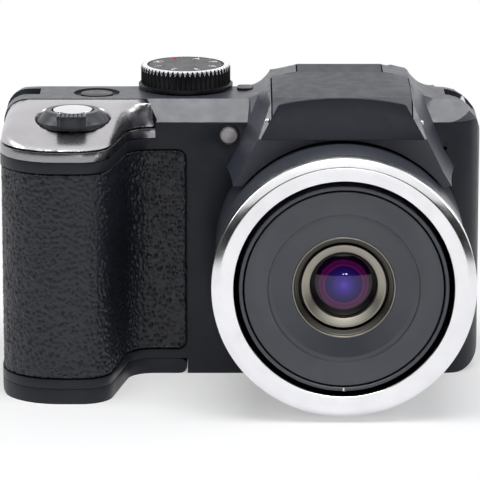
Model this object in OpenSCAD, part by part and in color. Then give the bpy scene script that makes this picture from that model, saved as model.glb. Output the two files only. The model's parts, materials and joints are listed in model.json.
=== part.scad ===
// Bridge camera with a deep grip, a fixed superzoom lens and a pop-up flash.
// The lens looks along -Y and the base stands on Z = 0.

/* [Body] */
// Width of the body
body_w = 107; // [102:1:114]
// Depth of the body from its flat front face to its back
body_d = 34; // [34:0.5:38]
// Height of the flat top deck
deck_z = 62.7; // [62:0.1:64]
// Height of the seam under the top cover
seam_z = 58; // [57.6:0.1:58.4]
// Wall thickness of the moulded covers
wall = 2; // [1.8:0.1:2.2]
// Distance of the front to rear cover seam behind the front face
parting = 15; // [14:0.5:16]
// Depth of the sloping band along the front of the deck
bevel_d = 4; // [3:0.5:5]
// Corner radius of the body seen from above, front right
side_r = 8; // [6:0.5:9]
// Corner radius of the body seen from above, at the back
rear_r = 7; // [5:0.5:8]
// Radius of the top corner on the lens side seen from the front
top_r = 8.5; // [7:0.5:9]
// Radius of the top corner over the grip seen from the front
grip_top_r = 5; // [4.5:0.5:6]
// Fall of both top corners towards the back, in degrees
roof_lean = 14; // [12:1:16]
// Radius of the bottom corner on the lens side seen from the front
foot_r = 5.5; // [4:0.5:6]
// Radius of the bottom corner under the grip
grip_foot_r = 1.6; // [1:0.1:2]
// Gap between fixed pieces that lie side by side
seam = 0.1; // [0.06:0.02:0.14]
// Gap around pieces that move
play = 0.3; // [0.25:0.05:0.35]

/* [Grip] */
// Reach of the grip in front of the front face
grip_reach = 26; // [24:0.5:28]
// Width of the grip at the front face
grip_w = 28.5; // [27.5:0.5:30]
// Width of the grip at its nose
nose_w = 23.6; // [23:0.2:25]
// Radius of the nose at the outer side
nose_out_r = 13; // [11:0.5:14]
// Radius of the nose at the finger side
nose_in_r = 7; // [5:0.5:8]
// Fillet between grip and front face
grip_fillet_r = 6; // [4:0.5:6]
// Thickness of the rubber skin
rubber_t = 1; // [0.8:0.1:1.1]
// Lower edge of the rubber skin
rubber_z = 5.6; // [5.2:0.1:7]
// Upper edge of the rubber skin
rubber_top = 51.9; // [48:0.1:52.4]
// Distance of the rubber's free edge from the left side
rubber_w = 41; // [39:0.5:42]
// Corner radius of the rubber's free edge
rubber_r = 2.2; // [1:0.1:3]
// Lower edge of the bright trim band
trim_z = 54.5; // [54:0.1:55]
// Height of the bright trim band
trim_h = 2.2; // [1.8:0.1:2.4]
// Fall of the grip cap from the deck to the nose
cap_fall = 4.6; // [4:0.1:5]
// Edge radius of the grip cap
cap_edge_r = 1.4; // [1:0.1:1.6]
// Thickness of the grip cap
cap_t = 1.4; // [1:0.1:1.6]
// Width of the grip cap at the deck
cap_w = 32.1; // [31.5:0.1:33]
// Width of the grip cap at the front face
cap_tip_w = 34.6; // [34.2:0.1:35]

/* [Battery door] */
// Height of the battery door
door_h = 3.4; // [3.2:0.1:3.6]
// Width of the battery door
door_w = 41; // [40:0.5:42]
// Floor thickness of the battery door
door_t = 1.4; // [1.2:0.1:1.5]
// Travel of the battery door before it swings
door_travel = 3.5; // [2.5:0.5:4]
// Width of the body strip behind the battery door
door_sill = 4.5; // [4:0.5:5]
// Radius of the door's hinge pin
door_pin_r = 0.6; // [0.5:0.05:0.7]
// Diameter of one cell
cell_d = 14.5; // [13.5:0.1:14.5]
// Length of one cell
cell_l = 50.5; // [48:0.5:50.5]
// Distance between neighbouring cells
cell_pitch = 15.2; // [15.1:0.1:15.4]

/* [Lens] */
// Distance of the lens axis from the right side
lens_inset = 31.6; // [31.4:0.1:33]
// Height of the lens axis
lens_z = 29.8; // [29.5:0.1:30]
// Reach of the lens ring in front of the front face
lens_reach = 41; // [40:0.5:44]
// Outer radius of the bright lens ring
ring_r = 28.7; // [28.2:0.1:28.8]
// Inner radius of the bright lens ring
ring_in_r = 23.9; // [23.7:0.1:24.2]
// Depth of the bright lens ring
ring_d = 5.5; // [5:0.1:6.5]
// Outer radius of the fixed barrel behind the ring
shroud_r = 28; // [27.6:0.1:28.2]
// Outer radius of the rear moving barrel
barrel_r = 22.7; // [22.4:0.1:22.9]
// Wall of the rear moving barrel
barrel_t = 0.8; // [0.7:0.05:0.9]
// Outer radius of the front moving barrel
nose_r = 21.5; // [21.3:0.05:21.6]
// Radius of the step in the lens face
step_r = 16.5; // [15:0.1:18]
// Outer radius of the front retaining ring
retainer_r = 11.2; // [10.6:0.1:12]
// Clear radius of the front glass
glass_r = 7.2; // [6.5:0.1:7.6]
// Running clearance of barrels, pins and shafts
fit = 0.08; // [0.04:0.01:0.09]
// Travel of the rear moving barrel
barrel_travel = 15; // [10:1:15]
// Travel of the front moving barrel in the rear one
nose_travel = 14; // [10:1:14]

/* [Flash] */
// Height of the hump's crest
crest_z = 68.2; // [67.8:0.1:68.8]
// Reach of the hump's nose in front of the front face
hump_reach = 22; // [19:0.5:23]
// Half width of the flash cover at the top
flash_hw = 15.3; // [14.6:0.1:15.6]
// Half width of the tongue between the hinge knuckles
tongue_hw = 9.5; // [8:0.1:10.5]
// Thickness of the flash cover
flash_t = 1.3; // [1.1:0.1:1.4]
// Half width of the nameplate at its foot
plate_hw = 18; // [17.4:0.1:18.4]
// Half width of the nameplate at its top
plate_top_hw = 14; // [13:0.1:14.6]
// Radius of the flash hinge barrel
hinge_r = 2.6; // [2.4:0.1:2.7]
// Radius of the flash hinge pin
hinge_pin_r = 0.8; // [0.7:0.05:0.9]

/* [Controls] */
// Radius of the mode dial
dial_r = 10.2; // [9.6:0.1:10.4]
// Height of the mode dial
dial_h = 4.9; // [4:0.1:5.2]
// Number of grooves round the mode dial
dial_grooves = 56; // [40:2:64]
// Distance of the mode dial from the body's middle
dial_x = -12.9; // [-13.5:0.1:-12]
// Radius of the shutter button
shutter_r = 4.45; // [4:0.05:4.6]
// Travel of the shutter button
shutter_travel = 0.9; // [0.6:0.1:1]
// Outer radius of the zoom lever
lever_r = 7.95; // [7.6:0.05:8.1]
// Width of the zoom lever's finger tab
tab_w = 6.4; // [5.6:0.1:7]
// Travel of the small buttons
key_travel = 0.6; // [0.4:0.05:0.65]
// Radius of the round rear keys
key_r = 3; // [2.7:0.1:3.2]
// Outer radius of the direction ring
nav_r = 9; // [8.4:0.1:9.4]

/* [Screen] */
// Width of the screen window
screen_w = 67; // [64:0.5:68]
// Height of the screen window
screen_h = 50; // [46:0.5:51]
// Distance of the screen's middle from the body's middle
screen_x = 13; // [12.5:0.5:13]
// Height of the screen's middle
screen_z = 30; // [29:0.5:31]

/* [Hidden] */
$fn = 48;
arc_steps = 8;
eps = 0.01;
// Length by which a cut runs clear of what it cuts
over = 6;
// Clearance of pins pressed into their seats
press = 0.03;

left = -body_w / 2;
right = body_w / 2;
lens_x = right - lens_inset;
front_y = (lens_reach - body_d) / 2;
back_y = front_y + body_d;
parting_y = front_y + parting;
grip_y = front_y - grip_reach;
door_x = left + door_w;
door_back_y = back_y - door_sill;
cap_back_y = front_y + bevel_d;
cap_z = trim_z + trim_h + seam;
cover_z = trim_z - seam;

// Plan outline of body and grip: each corner is [x, y, radius]
body_corners = [
  [right, back_y, rear_r],
  [right, front_y, side_r],
  [left + grip_w, front_y, grip_fillet_r],
  [left + nose_w, grip_y, nose_in_r],
  [left, grip_y, nose_out_r],
  [left, back_y, rear_r]
];
// Plan outline of the grip's top
cap_tip_r = 0.3;
cap_corners = [
  [left + cap_w, cap_back_y - seam, cap_tip_r],
  [left + cap_tip_w, front_y, cap_tip_r],
  [left + grip_w, front_y, grip_fillet_r],
  [left + nose_w, grip_y, nose_in_r],
  [left, grip_y, nose_out_r],
  [left, cap_back_y - seam, cap_tip_r]
];

function unit(v) = v / norm(v);
function flat(c) = [c.x, c.y];
function wrap(a) = a > 180 ? a - 360 : a < -180 ? a + 360 : a;

// Points of the arc that rounds corner b between its neighbours a and c; a slight one is a chamfer
slight_r = 1;
function corner(a, b, c) =
  let (
    steps = b[2] < slight_r ? 1 : arc_steps,
    u = unit(flat(a) - flat(b)),
    v = unit(flat(c) - flat(b)),
    half = acos(u * v) / 2,
    centre = flat(b) + unit(u + v) * b[2] / sin(half),
    p = flat(b) + u * b[2] / tan(half) - centre,
    q = flat(b) + v * b[2] / tan(half) - centre,
    start = atan2(p.y, p.x),
    turn = wrap(atan2(q.y, q.x) - start)
  )
  [for (i = [0:steps]) let (t = start + turn * i / steps) centre + b[2] * [cos(t), sin(t)]];

function at(list, i) = list[(i + len(list)) % len(list)];
function rounded(corners) =
  [for (i = [0:len(corners) - 1]) each corner(at(corners, i - 1), corners[i], at(corners, i + 1))];

// Solid through a stack of point rings, closed at both ends
module skin(rings) {
  n = len(rings[0]);
  m = len(rings);
  points = [for (ring = rings) each ring];
  sides = [
    for (k = [0:m - 2]) for (i = [0:n - 1])
      let (j = (i + 1) % n)
      each [
        [k * n + i, k * n + j, (k + 1) * n + j],
        [k * n + i, (k + 1) * n + j, (k + 1) * n + i]
      ]
  ];
  foot = [[for (i = [0:n - 1]) n - 1 - i]];
  head = [[for (i = [0:n - 1]) (m - 1) * n + i]];
  polyhedron(points, concat(sides, foot, head), convexity = 8);
}

// Prism along X from x0 to x1 of a shape drawn in Y and Z
module along_x(x0, x1) {
  translate([x0, 0, 0]) rotate([90, 0, 90]) linear_extrude(x1 - x0) children();
}
// Prism across the whole hump of a shape drawn in Y and Z
module across_hump() {
  along_x(lens_x - hump_reach_x, lens_x + hump_reach_x) children();
}
// Prism along Y from y0 to y1 of a shape drawn in X and Z
module along_y(y0, y1) {
  translate([0, y1, 0]) rotate([90, 0, 0]) linear_extrude(y1 - y0) children();
}
// Prism along Z from z0 to z1 of a shape drawn in X and Y
module along_z(z0, z1) {
  translate([0, 0, z0]) linear_extrude(z1 - z0) children();
}
// Box between two corners
module span(a, b) {
  translate(a) cube(b - a);
}
// Revolve about the lens axis of a shape drawn in radius and reach
module on_lens_axis() {
  translate([lens_x, front_y, lens_z]) rotate([90, 0, 0]) children();
}
module rounded_box_2d(w, h, r) {
  offset(r = r) square([w - 2 * r, h - 2 * r], center = true);
}

// Shapes that several covers share

module body_plan(d = 0) {
  offset(delta = -d) polygon(rounded(body_corners));
}
module silhouette(d = 0, foot = 0) {
  offset(delta = -d) polygon(rounded([
    [left, foot, grip_foot_r], [left, deck_z, grip_top_r], [right, deck_z, top_r], [right, foot, foot_r]
  ]));
}
// The same outline leaning back from the deck's flat part, so that the top corners fall away
module leaning_roof(d) {
  translate([0, front_y + deck_flat, deck_z]) rotate([-roof_lean, 0, 0]) translate([0, 0, -deck_z])
    along_y(-body_w, body_w) silhouette(d, -deck_z);
}
// The closed body form, shrunk by d on every side
module body_form(d = 0) {
  intersection() {
    along_z(d, deck_z - d) body_plan(d);
    along_y(grip_y - eps, back_y + eps) silhouette(d);
    leaning_roof(d);
  }
}
// Space of the battery door, grown by d
module door_zone(d = 0) {
  span([left - 1, grip_y - 1, -1], [door_x + d, door_back_y + d, door_h + d]);
}
// Space under the grip's top, grown by d
module cap_zone(z, d = 0) {
  along_z(z, deck_z + 1) offset(delta = d) polygon(rounded(cap_corners));
}
// Space of the rubber skin, grown by d
module rubber_zone(d = 0) {
  rubber_l = rubber_w + 1;
  along_y(grip_y - 1, parting_y - 1 + d)
    translate([left - 1 + rubber_l / 2, (rubber_z + rubber_top) / 2])
      offset(delta = d) rounded_box_2d(rubber_l, rubber_top - rubber_z, rubber_r);
}

// Lens places, as reach in front of the front face
spigot_d = 6;
spigot_r = 26.4;
guide_from = 20;
guide_to = 33;
bore_r = barrel_r + 1.8;
ring_foot = lens_reach - ring_d;

// Small features of the front cover
lamp_x = -3.1;
lamp_z = 55.2;
lamp_r = 2.3;
lamp_tail = 0.4;
lamp_edge = 0.3;
lamp_rise = 0.25;
mic_x = right - 8.2;
mic_z = 52.1;
mic_r = 0.5;
bush_x = 4;
bush_y = front_y + 9.2;
bush_r = 5;
bush_roof = 0.8;
bush_flange_t = 1.2;
bush_flange_w = 1.4;
thread_r = 3.25;
thread_l = 5.6;
screw_r = 1.1;
screw_head_r = 1.8;
screw_l = 6;
screw_sink = 0.3;
screw_places = [[right - 7, back_y - 7], [-6, back_y - 6], [right - 9, front_y + 7]];

module front_cover() color("#30333c") difference() {
  intersection() {
    body_form();
    span([left - 1, grip_y - 1, 0], [right + 1, parting_y - seam, seam_z]);
  }
  body_form(wall);
  door_zone(seam);
  cap_zone(cover_z);
  difference() {
    rubber_zone(seam);
    along_z(0, deck_z) body_plan(rubber_t + seam);
  }
  on_lens_axis() translate([0, 0, -wall - 1]) cylinder(h = wall + 2, r = spigot_r + seam);
  translate([lamp_x, front_y - 1, lamp_z]) rotate([-90, 0, 0]) cylinder(h = wall + 2, r = lamp_r + seam);
  translate([mic_x, front_y - 1, mic_z]) rotate([-90, 0, 0]) cylinder(h = wall + 2, r = mic_r);
  translate([bush_x, bush_y, -1]) cylinder(h = wall + 2, r = bush_r + seam);
  screw_holes();
}

module screw_holes() {
  for (p = screw_places) translate([p.x, p.y, -1]) {
    cylinder(h = wall + 2, r = screw_r + seam);
    cylinder(h = 1 + wall / 2 + seam, r = screw_head_r + seam);
  }
}

// Rear wall cut-outs
panel_x = left + 17.5;
panel_w = 29;
panel_h = 50;
panel_d = 0.8;
port_z = 32;
port_w = 9.6;
port_h = 20;
port_t = 1.6;
port_y = back_y - rear_r - 1;
port_pin_r = 0.5;
port_pin_l = 1;
nav_x = panel_x;
nav_z = 27;
window_t = 0.8;
screen_r = 2;
screen_lap = 2.5;
panel_r = 4;
key_flange = 0.8;
key_gap = play / 2;
board_gap = 2.9;
board_y = back_y - wall - board_gap;
board_t = 0.8;
boss_r = 2;
boss_h = back_y - wall - board_y - board_t;
boss_places = [[panel_x - 11, 38], [panel_x + 11, 18]];
key_places = [
  [panel_x - 7.5, 47.5], [panel_x + 7, 43.5], [panel_x - 7.5, 11.5], [panel_x + 5, 11.5]
];

module on_back(x, z, y) {
  translate([x, y, z]) rotate([90, 0, 0]) children();
}

module rear_cover() color("#2b2e36") difference() {
  union() {
    difference() {
      intersection() {
        body_form();
        span([left - 1, parting_y + seam, 0], [right + 1, back_y, seam_z]);
      }
      intersection() {
        body_form(wall);
        span([left, grip_y, 0], [right, back_y - wall, deck_z]);
      }
      door_zone(seam);
    }
    for (p = boss_places) on_back(p.x, p.y, back_y - wall + eps) cylinder(h = boss_h + eps, r = boss_r);
    port_frame();
  }
  on_back(screen_x, screen_z, back_y + 1) linear_extrude(1 + window_t + seam)
    rounded_box_2d(screen_w + 2 * seam, screen_h + 2 * seam, screen_r);
  on_back(screen_x, screen_z, back_y + 1) linear_extrude(wall + 2)
    rounded_box_2d(screen_w - 2 * screen_lap, screen_h - 2 * screen_lap, screen_r / 2);
  on_back(panel_x, screen_z, back_y + 1) linear_extrude(1 + panel_d) rounded_box_2d(panel_w, panel_h, panel_r);
  for (p = key_places) on_back(p.x, p.y, back_y) cylinder(h = wall + 1, r = key_r + key_gap);
  on_back(nav_x, nav_z, back_y) cylinder(h = wall + 1, r = nav_r + play);
  port_cut();
  screw_holes();
}

// Frame behind the port cover that carries the sockets
module port_frame() {
  span(
    [right - wall - 2.4, port_y - port_w - 1.4, port_z - port_h / 2 - 1.6],
    [right - wall + eps, port_y + 1.4, port_z + port_h / 2 + 1.6]
  );
}
socket_w = 3.4;
socket_h = 8.4;
module port_cut() {
  span([right - port_t - seam, port_y - port_w - 0.2, port_z - port_h / 2 - 0.2],
    [right + 1, port_y + eps, port_z + port_h / 2 + 0.2]);
  translate([right - port_t / 2, port_y, port_z - port_h / 2 - 0.2])
    cylinder(h = port_h + 0.4, r = port_t / 2 + 1.5 * play);
  translate([right - port_t / 2, port_y, port_z - port_h / 2 - port_pin_l - 0.2])
    cylinder(h = port_h + 2 * port_pin_l + 0.4, r = port_pin_r + fit);
  span([right - wall - 4, port_y - port_w / 2 - socket_w / 2 - seam, port_z - socket_h / 2 - seam],
    [right, port_y - port_w / 2 + socket_w / 2 + seam, port_z + socket_h / 2 + seam]);
}

// Side profile of the top deck
deck_flat = 18.5;
deck_slope_d = 27.5;
deck_slope_h = 1.8;
deck_t = 1.8;
module deck_profile() {
  polygon([
    [front_y, seam_z], [front_y + bevel_d, deck_z], [front_y + deck_flat, deck_z],
    [front_y + deck_slope_d, deck_z - deck_slope_h], [back_y - 1.5, seam_z + 1.5], [back_y, seam_z],
    [back_y, seam_z - deck_t - 1], [front_y, seam_z - deck_t - 1]
  ]);
}

// Side profile of the hump, from the nose's foot to the rear
plate_z = 58.7;
plate_top_z = 66.4;
plate_lean = 8;
plate_t = 1.2;
nose_y = front_y - hump_reach;
nose_top_y = nose_y + plate_lean;
hinge_y = front_y + 17;
hinge_z = crest_z - hinge_r - 0.1;
flash_back_y = front_y + 9.7;
pocket_z = 59.7;
hump_back_y = back_y - 3.5;
cheek_z = 48;
crown_r = 73;
hump_shoulder = 3.5;
hump_shoulder_drop = 0.9;
function top_line(y) = plate_top_z + (crest_z - plate_top_z) * (y - nose_top_y) / (hinge_y - nose_top_y);

module hump_profile(setback) {
  polygon([
    [nose_y + setback, cheek_z], [nose_y + setback, plate_z - seam],
    [nose_top_y + setback, plate_top_z], [hinge_y, crest_z],
    [hinge_y + hump_shoulder, crest_z - hump_shoulder_drop],
    [hump_back_y, seam_z + 1], [hump_back_y, cheek_z]
  ]);
}
// One cross section of the hump: side points from foot to shoulder, mirrored, with a crowned top
function crown_z(dx, z) = z - dx * dx / (2 * crown_r);
function section(y, side, z) =
  let (shoulder = side[len(side) - 1].x, steps = 8)
  [
    for (p = side) [lens_x + p.x, y, p.y],
    for (i = [1:steps - 1]) let (dx = shoulder * (1 - 2 * i / steps)) [lens_x + dx, y, crown_z(dx, z)],
    for (i = [len(side) - 1:-1:0]) [lens_x - side[i].x, y, side[i].y]
  ];
function mix(a, b, t) = a + (b - a) * t;
// Half sections of the hump from foot to shoulder: at the nose, the front face, the deck and its rear
cheek_nose = [[24, cheek_z], [22.2, 51], [20.4, 54.6], [18.3, 58.8], [16.9, 62], [15.6, 65]];
cheek_root = [[25.6, cheek_z], [23, 52.5], [21.6, 56], [20, 60], [18.2, 62.8], [16.6, 65.4]];
deck_root = [
  [24, deck_z - 4], [22.6, deck_z - 0.9], [20.2, deck_z + 0.3],
  [18.4, deck_z + 0.9], [16.9, deck_z + 2.3], [15.9, deck_z + 3.4]
];
deck_side = [
  [24, deck_z - 2], [21.6, deck_z - 0.1], [19.6, deck_z + 0.2],
  [17.9, deck_z + 1], [16.5, deck_z + 2.4], [15.6, deck_z + 3.5]
];
hump_tail_in = 1.5;
hump_tail_fall = 4.6;
deck_tail = [for (p = deck_side) [p.x - hump_tail_in, p.y - hump_tail_fall]];
cheek_steps = 8;
hump_top = crest_z + seam;
hump_reach_x = 30;

// Outer form of the hump over the lens and on the deck
module hump_form(setback) {
  intersection() {
    across_hump() hump_profile(setback);
    skin([
      for (i = [0:cheek_steps])
        let (t = i / cheek_steps)
        section(mix(nose_y - 1, front_y, t), mix(cheek_nose, cheek_root, t * t), hump_top),
      section(front_y + bevel_d, deck_root, hump_top),
      section(hinge_y + hump_shoulder, deck_side, hump_top),
      section(back_y, deck_tail, hump_top)
    ]);
  }
}
// Space that the flash cover moves out of
module flash_pocket() {
  side = flash_hw + play;
  along_x(lens_x - side, lens_x + side)
    polygon([
      [nose_y - 1, pocket_z], [flash_back_y + play, pocket_z],
      [flash_back_y + play, crest_z + 2], [nose_y - 1, crest_z + 2]
    ]);
  along_x(lens_x - tongue_hw - play, lens_x + tongue_hw + play) {
    translate([hinge_y, hinge_z]) circle(r = hinge_r + 2 * play);
    polygon([
      [flash_back_y, pocket_z], [hinge_y, hinge_z - hinge_r - play],
      [hinge_y, crest_z + 2], [flash_back_y, crest_z + 2]
    ]);
  }
}

// Places on the deck
dial_y = front_y + 17.5;
dial_base_z = deck_z + 0.3;
dial_shaft_r = 2.5;
power_inset = 20.6;
power_setback = 11;
power_x = left + power_inset;
power_y = front_y + power_setback;
power_r = 3.6;
power_ring_r = 5.2;
power_ring_d = 0.8;
flash_key_x = 0.6;
flash_key_y = front_y + 15.5;
flash_key_w = 3.4;
flash_key_l = 4.6;
strap_x = right - 3.8;
strap_y = front_y + 12.4;
strap_l = 6.5;
strap_w = 6;
strap_z = 58.2;
strap_bar_r = 0.7;
strap_bar_z = 60.4;
strap_wall = 1.2;
strap_bar_in = 0.9;

module top_cover() color("#3a3d46") difference() {
  union() {
    difference() {
      intersection() {
        body_form();
        along_x(left, right) deck_profile();
        span([left - 1, front_y, seam_z + seam], [right + 1, back_y, deck_z]);
      }
      deck_cavity();
      cap_zone(seam_z - 1, seam);
      span([left - 1, front_y - 1, seam_z - 1], [left + cap_w, cap_back_y, deck_z + 1]);
    }
    difference() {
      hump_form(plate_t + play + 0.2);
      deck_cavity();
      span([lens_x - hump_reach_x, front_y - seam, cheek_z - 1],
        [lens_x + hump_reach_x, back_y, seam_z + seam]);
    }
    translate([dial_x, dial_y, deck_z - deck_t]) cylinder(h = dial_base_z - deck_z + deck_t, r = dial_r - 1);
    intersection() {
      body_form();
      for (s = [-1, 1])
        span([s * strap_x - strap_w, strap_y - strap_l / 2 - strap_wall, seam_z + seam],
          [s * strap_x + strap_w, strap_y + strap_l / 2 + strap_wall, deck_z - 1]);
    }
  }
  on_lens_axis() translate([0, 0, seam]) cylinder(h = hump_reach + 2, r = shroud_r + 0.5, $fn = 96);
  flash_pocket();
  along_x(lens_x - flash_hw, lens_x + flash_hw) translate([hinge_y, hinge_z]) circle(r = hinge_pin_r + press);
  translate([dial_x, dial_y, seam_z]) cylinder(h = 10, r = dial_shaft_r + fit);
  translate([power_x, power_y, deck_z - power_ring_d]) cylinder(h = 5, r = power_ring_r);
  translate([power_x, power_y, seam_z]) cylinder(h = 9, r = power_r + key_gap);
  translate([flash_key_x, flash_key_y, seam_z]) linear_extrude(9)
    rounded_box_2d(flash_key_w + play, flash_key_l + play, flash_key_r + key_gap);
  for (s = [-1, 1])
    span([s > 0 ? strap_x - strap_w + 2 : -right - 1, strap_y - strap_l / 2, strap_z],
      [s > 0 ? right + 1 : -strap_x + strap_w - 2, strap_y + strap_l / 2, deck_z + 1]);
  for (s = [-1, 1]) translate([s * strap_x, strap_y - strap_l / 2 - 1, strap_bar_z]) rotate([-90, 0, 0])
    cylinder(h = strap_l + 2, r = strap_bar_r + press);
}
// Hollow under the deck, shallow under the hump
module deck_cavity() {
  intersection() {
    body_form(deck_t);
    along_x(left, right) offset(delta = -deck_t) deck_profile();
    union() {
      span([left, front_y, seam_z - 1], [right, back_y, pocket_z - 1]);
      span([left, front_y, seam_z - 1], [lens_x - 18.5, back_y, deck_z]);
    }
  }
}

// Grip cap: a dome that falls towards the nose and rolls over at its edges
function left_roll(x) =
  let (d = max(0, left + grip_top_r - x))
  deck_z - grip_top_r + sqrt(max(0, grip_top_r * grip_top_r - d * d));
function cap_fall_z(y) = deck_z - cap_fall * pow((cap_back_y - y) / (cap_back_y - grip_y), 2);
function cap_dome(x, y) = min(cap_fall_z(y), left_roll(x));
function edge_drop(d) =
  d >= cap_edge_r ? 0 : cap_edge_r - sqrt(cap_edge_r * cap_edge_r - pow(cap_edge_r - d, 2));
cap_outline = rounded(cap_corners);
// Left and right end of the outline on a line of constant y
function crossings(y) = [
  for (i = [0:len(cap_outline) - 1])
    let (p = cap_outline[i], q = at(cap_outline, i + 1))
    if ((p.y - y) * (q.y - y) <= 0 && p.y != q.y) mix(p.x, q.x, (y - p.y) / (q.y - p.y))
];
// Share of the edge radius at which the rolled edge has its rows
cap_rolls = [0, 0.15, 0.5, 1];
cap_rim = 0.3;
cap_columns = 16;
function cap_top(x, y, drop) = max(cap_z + cap_rim, cap_dome(x, y) - drop);
// One cross section: up the left edge, over the dome and down the right edge
function cap_section(y) =
  let (
    ends = crossings(y),
    a = min(ends),
    b = max(ends),
    nose = y - grip_y,
    over = [
      for (k = cap_rolls) a + k * cap_edge_r,
      for (i = [1:cap_columns - 1]) mix(a + cap_edge_r, b - cap_edge_r, i / cap_columns),
      for (i = [len(cap_rolls) - 1:-1:0]) b - cap_rolls[i] * cap_edge_r
    ]
  )
  [
    [a, y, cap_z],
    for (x = over) [x, y, cap_top(x, y, max(edge_drop(nose), edge_drop(min(x - a, b - x))))],
    [b, y, cap_z]
  ];
cap_stations = [
  for (i = [0:arc_steps]) grip_y + nose_out_r * (1 - cos(90 * i / arc_steps)),
  for (a = [0, 30, 55, 75, 90]) front_y - grip_fillet_r * (1 - sin(a)),
  front_y + cap_tip_r,
  cap_back_y - seam
];
cap_roof_steps = 12;
cap_roof = [for (i = [0:cap_roof_steps]) mix(grip_y, cap_back_y, i / cap_roof_steps)];

// Hollow under the dome, one wall thickness inside it
module cap_hollow() {
  intersection() {
    along_z(cap_z - 1, deck_z) {
      offset(delta = -cap_t) polygon(cap_outline);
      translate([left + cap_t, front_y]) square([cap_w - 2 * cap_t, bevel_d]);
    }
    along_x(left, right)
      polygon([
        [grip_y, cap_z - 1],
        [cap_back_y, cap_z - 1],
        for (i = [cap_roof_steps:-1:0]) [cap_roof[i], cap_fall_z(cap_roof[i]) - cap_t]
      ]);
    along_y(grip_y, cap_back_y)
      polygon([
        for (i = [0:arc_steps])
          let (a = 90 * i / arc_steps)
          [left + grip_top_r, deck_z - grip_top_r] + (grip_top_r - cap_t) * [-cos(a), sin(a)],
        [right, deck_z - cap_t],
        [right, cap_z - 1],
        [left + cap_t, cap_z - 1]
      ]);
  }
}

// Shutter and zoom lever places
shutter_x = left + 16;
shutter_y = front_y - 10;
shutter_seat_z = 59.6;
lever_z = shutter_seat_z + 0.2;
lever_h = 3.3;
stem_r = 2;
seat_t = 1.6;
seat_w = 1;

module grip_cap() color("#b9b9be") difference() {
  skin([for (i = [len(cap_stations) - 1:-1:0]) cap_section(cap_stations[i])]);
  difference() {
    cap_hollow();
    translate([shutter_x, shutter_y, shutter_seat_z - seat_t])
      cylinder(h = deck_z - shutter_seat_z + seat_t, r = lever_r + seat_w);
  }
  translate([shutter_x, shutter_y, shutter_seat_z]) cylinder(h = over, r = lever_r + play);
  translate([shutter_x, shutter_y, cap_z]) cylinder(h = over, r = stem_r + key_gap);
}

module grip_trim() color("#8e8f95") difference() {
  along_z(trim_z, trim_z + trim_h) polygon(rounded(cap_corners));
  along_z(trim_z - 1, trim_z + trim_h + 1) body_plan(wall);
}

module grip_rubber() color("#1c1d22") difference() {
  intersection() {
    body_form();
    rubber_zone();
  }
  along_z(0, deck_z) body_plan(rubber_t);
}

// Battery door with its hinge at the finger side
door_axis_r = door_h / 2;
door_axis_x = door_x - door_axis_r;
slider_setback = 10;
slider_w = 10;
slider_from = front_y + slider_setback;
slider_to = slider_from + slider_w;
slider_grip = 5.5;
slider_l = door_travel + slider_grip;
pin_grip = 4;
slider_t = 0.7;

module door_axis(y0, y1, r) {
  translate([door_axis_x, y0, door_axis_r]) rotate([-90, 0, 0]) cylinder(h = y1 - y0, r = r);
}

module battery_door() color("#2b2e36") difference() {
  union() {
    intersection() {
      body_form();
      span([left - 1, grip_y - 1, 0], [door_axis_x, door_back_y - seam, door_h]);
    }
    intersection() {
      door_axis(front_y + seam, door_back_y - seam, door_axis_r);
      body_form();
    }
  }
  intersection() {
    along_z(door_t, door_h + 1) body_plan(wall);
    span([left, grip_y, door_t], [door_axis_x - door_axis_r - 1, door_back_y - wall, door_h + 1]);
  }
  door_axis(slider_from - play, slider_to + play, door_axis_r + play);
  span([door_axis_x - door_axis_r - 2, slider_from - play, -1],
    [door_x + 1, slider_to + play, door_h + 1]);
  door_axis(slider_from - pin_grip - fit, slider_to + pin_grip + fit, door_pin_r + fit);
}

module door_slider() color("#3b3b40") difference() {
  union() {
    span([door_axis_x - slider_l, slider_from, door_h + seam],
      [door_axis_x, slider_to, door_h + seam + slider_t]);
    door_axis(slider_from, slider_to, door_axis_r - play / 2);
    span([door_axis_x - door_axis_r + play, slider_from, door_axis_r],
      [door_axis_x, slider_to, door_h + seam + eps]);
  }
  door_axis(slider_from - 1, slider_to + 1, door_pin_r + press);
}

module door_pin() color("#b5b5b5") door_axis(slider_from - pin_grip, slider_to + pin_grip, door_pin_r);

// Cells: three in a row along the grip and one beside the middle
cell_inset = 10.3;
cell_setback = 12.2;
cell_stagger = 1.55;
cell_x = left + cell_inset;
cell_y = grip_y + cell_setback;
cell_z = 4.7;
cell_places = [
  [cell_x, cell_y], [cell_x, cell_y + cell_pitch], [cell_x, cell_y + 2 * cell_pitch],
  [cell_x + cell_pitch, cell_y + cell_stagger * cell_pitch]
];
cell_top_z = cell_z + cell_l;
cell_tip_r = 2.7;
cell_tip_h = 1;
tray_t = 0.8;
tray_gap = 0.25;
tray_z = door_h + seam + slider_t + tray_gap;
tray_roof_t = 0.9;
tray_floor_t = 1.2;

module battery_cells() color("#4f7a52") for (p = cell_places) translate([p.x, p.y, cell_z]) {
  cylinder(h = cell_l - cell_tip_h, r = cell_d / 2);
  cylinder(h = cell_l, r = cell_tip_r);
}

module battery_tray() color("#26272c") difference() {
  intersection() {
    union() {
      for (p = cell_places) translate([p.x, p.y, tray_z])
        cylinder(h = cell_top_z + seam + tray_roof_t - tray_z, r = cell_d / 2 + seam + tray_t);
      span([left, grip_y, tray_z], [door_axis_x - slider_l / 2, door_back_y - 1, tray_z + tray_floor_t]);
    }
    body_form(wall + seam);
  }
  for (p = cell_places) translate([p.x, p.y, tray_z - 1])
    cylinder(h = cell_top_z + seam - tray_z + 1, r = cell_d / 2 + seam);
}

contact_t = 0.4;
contact_w = 9;
stud_r = 1.6;
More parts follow.
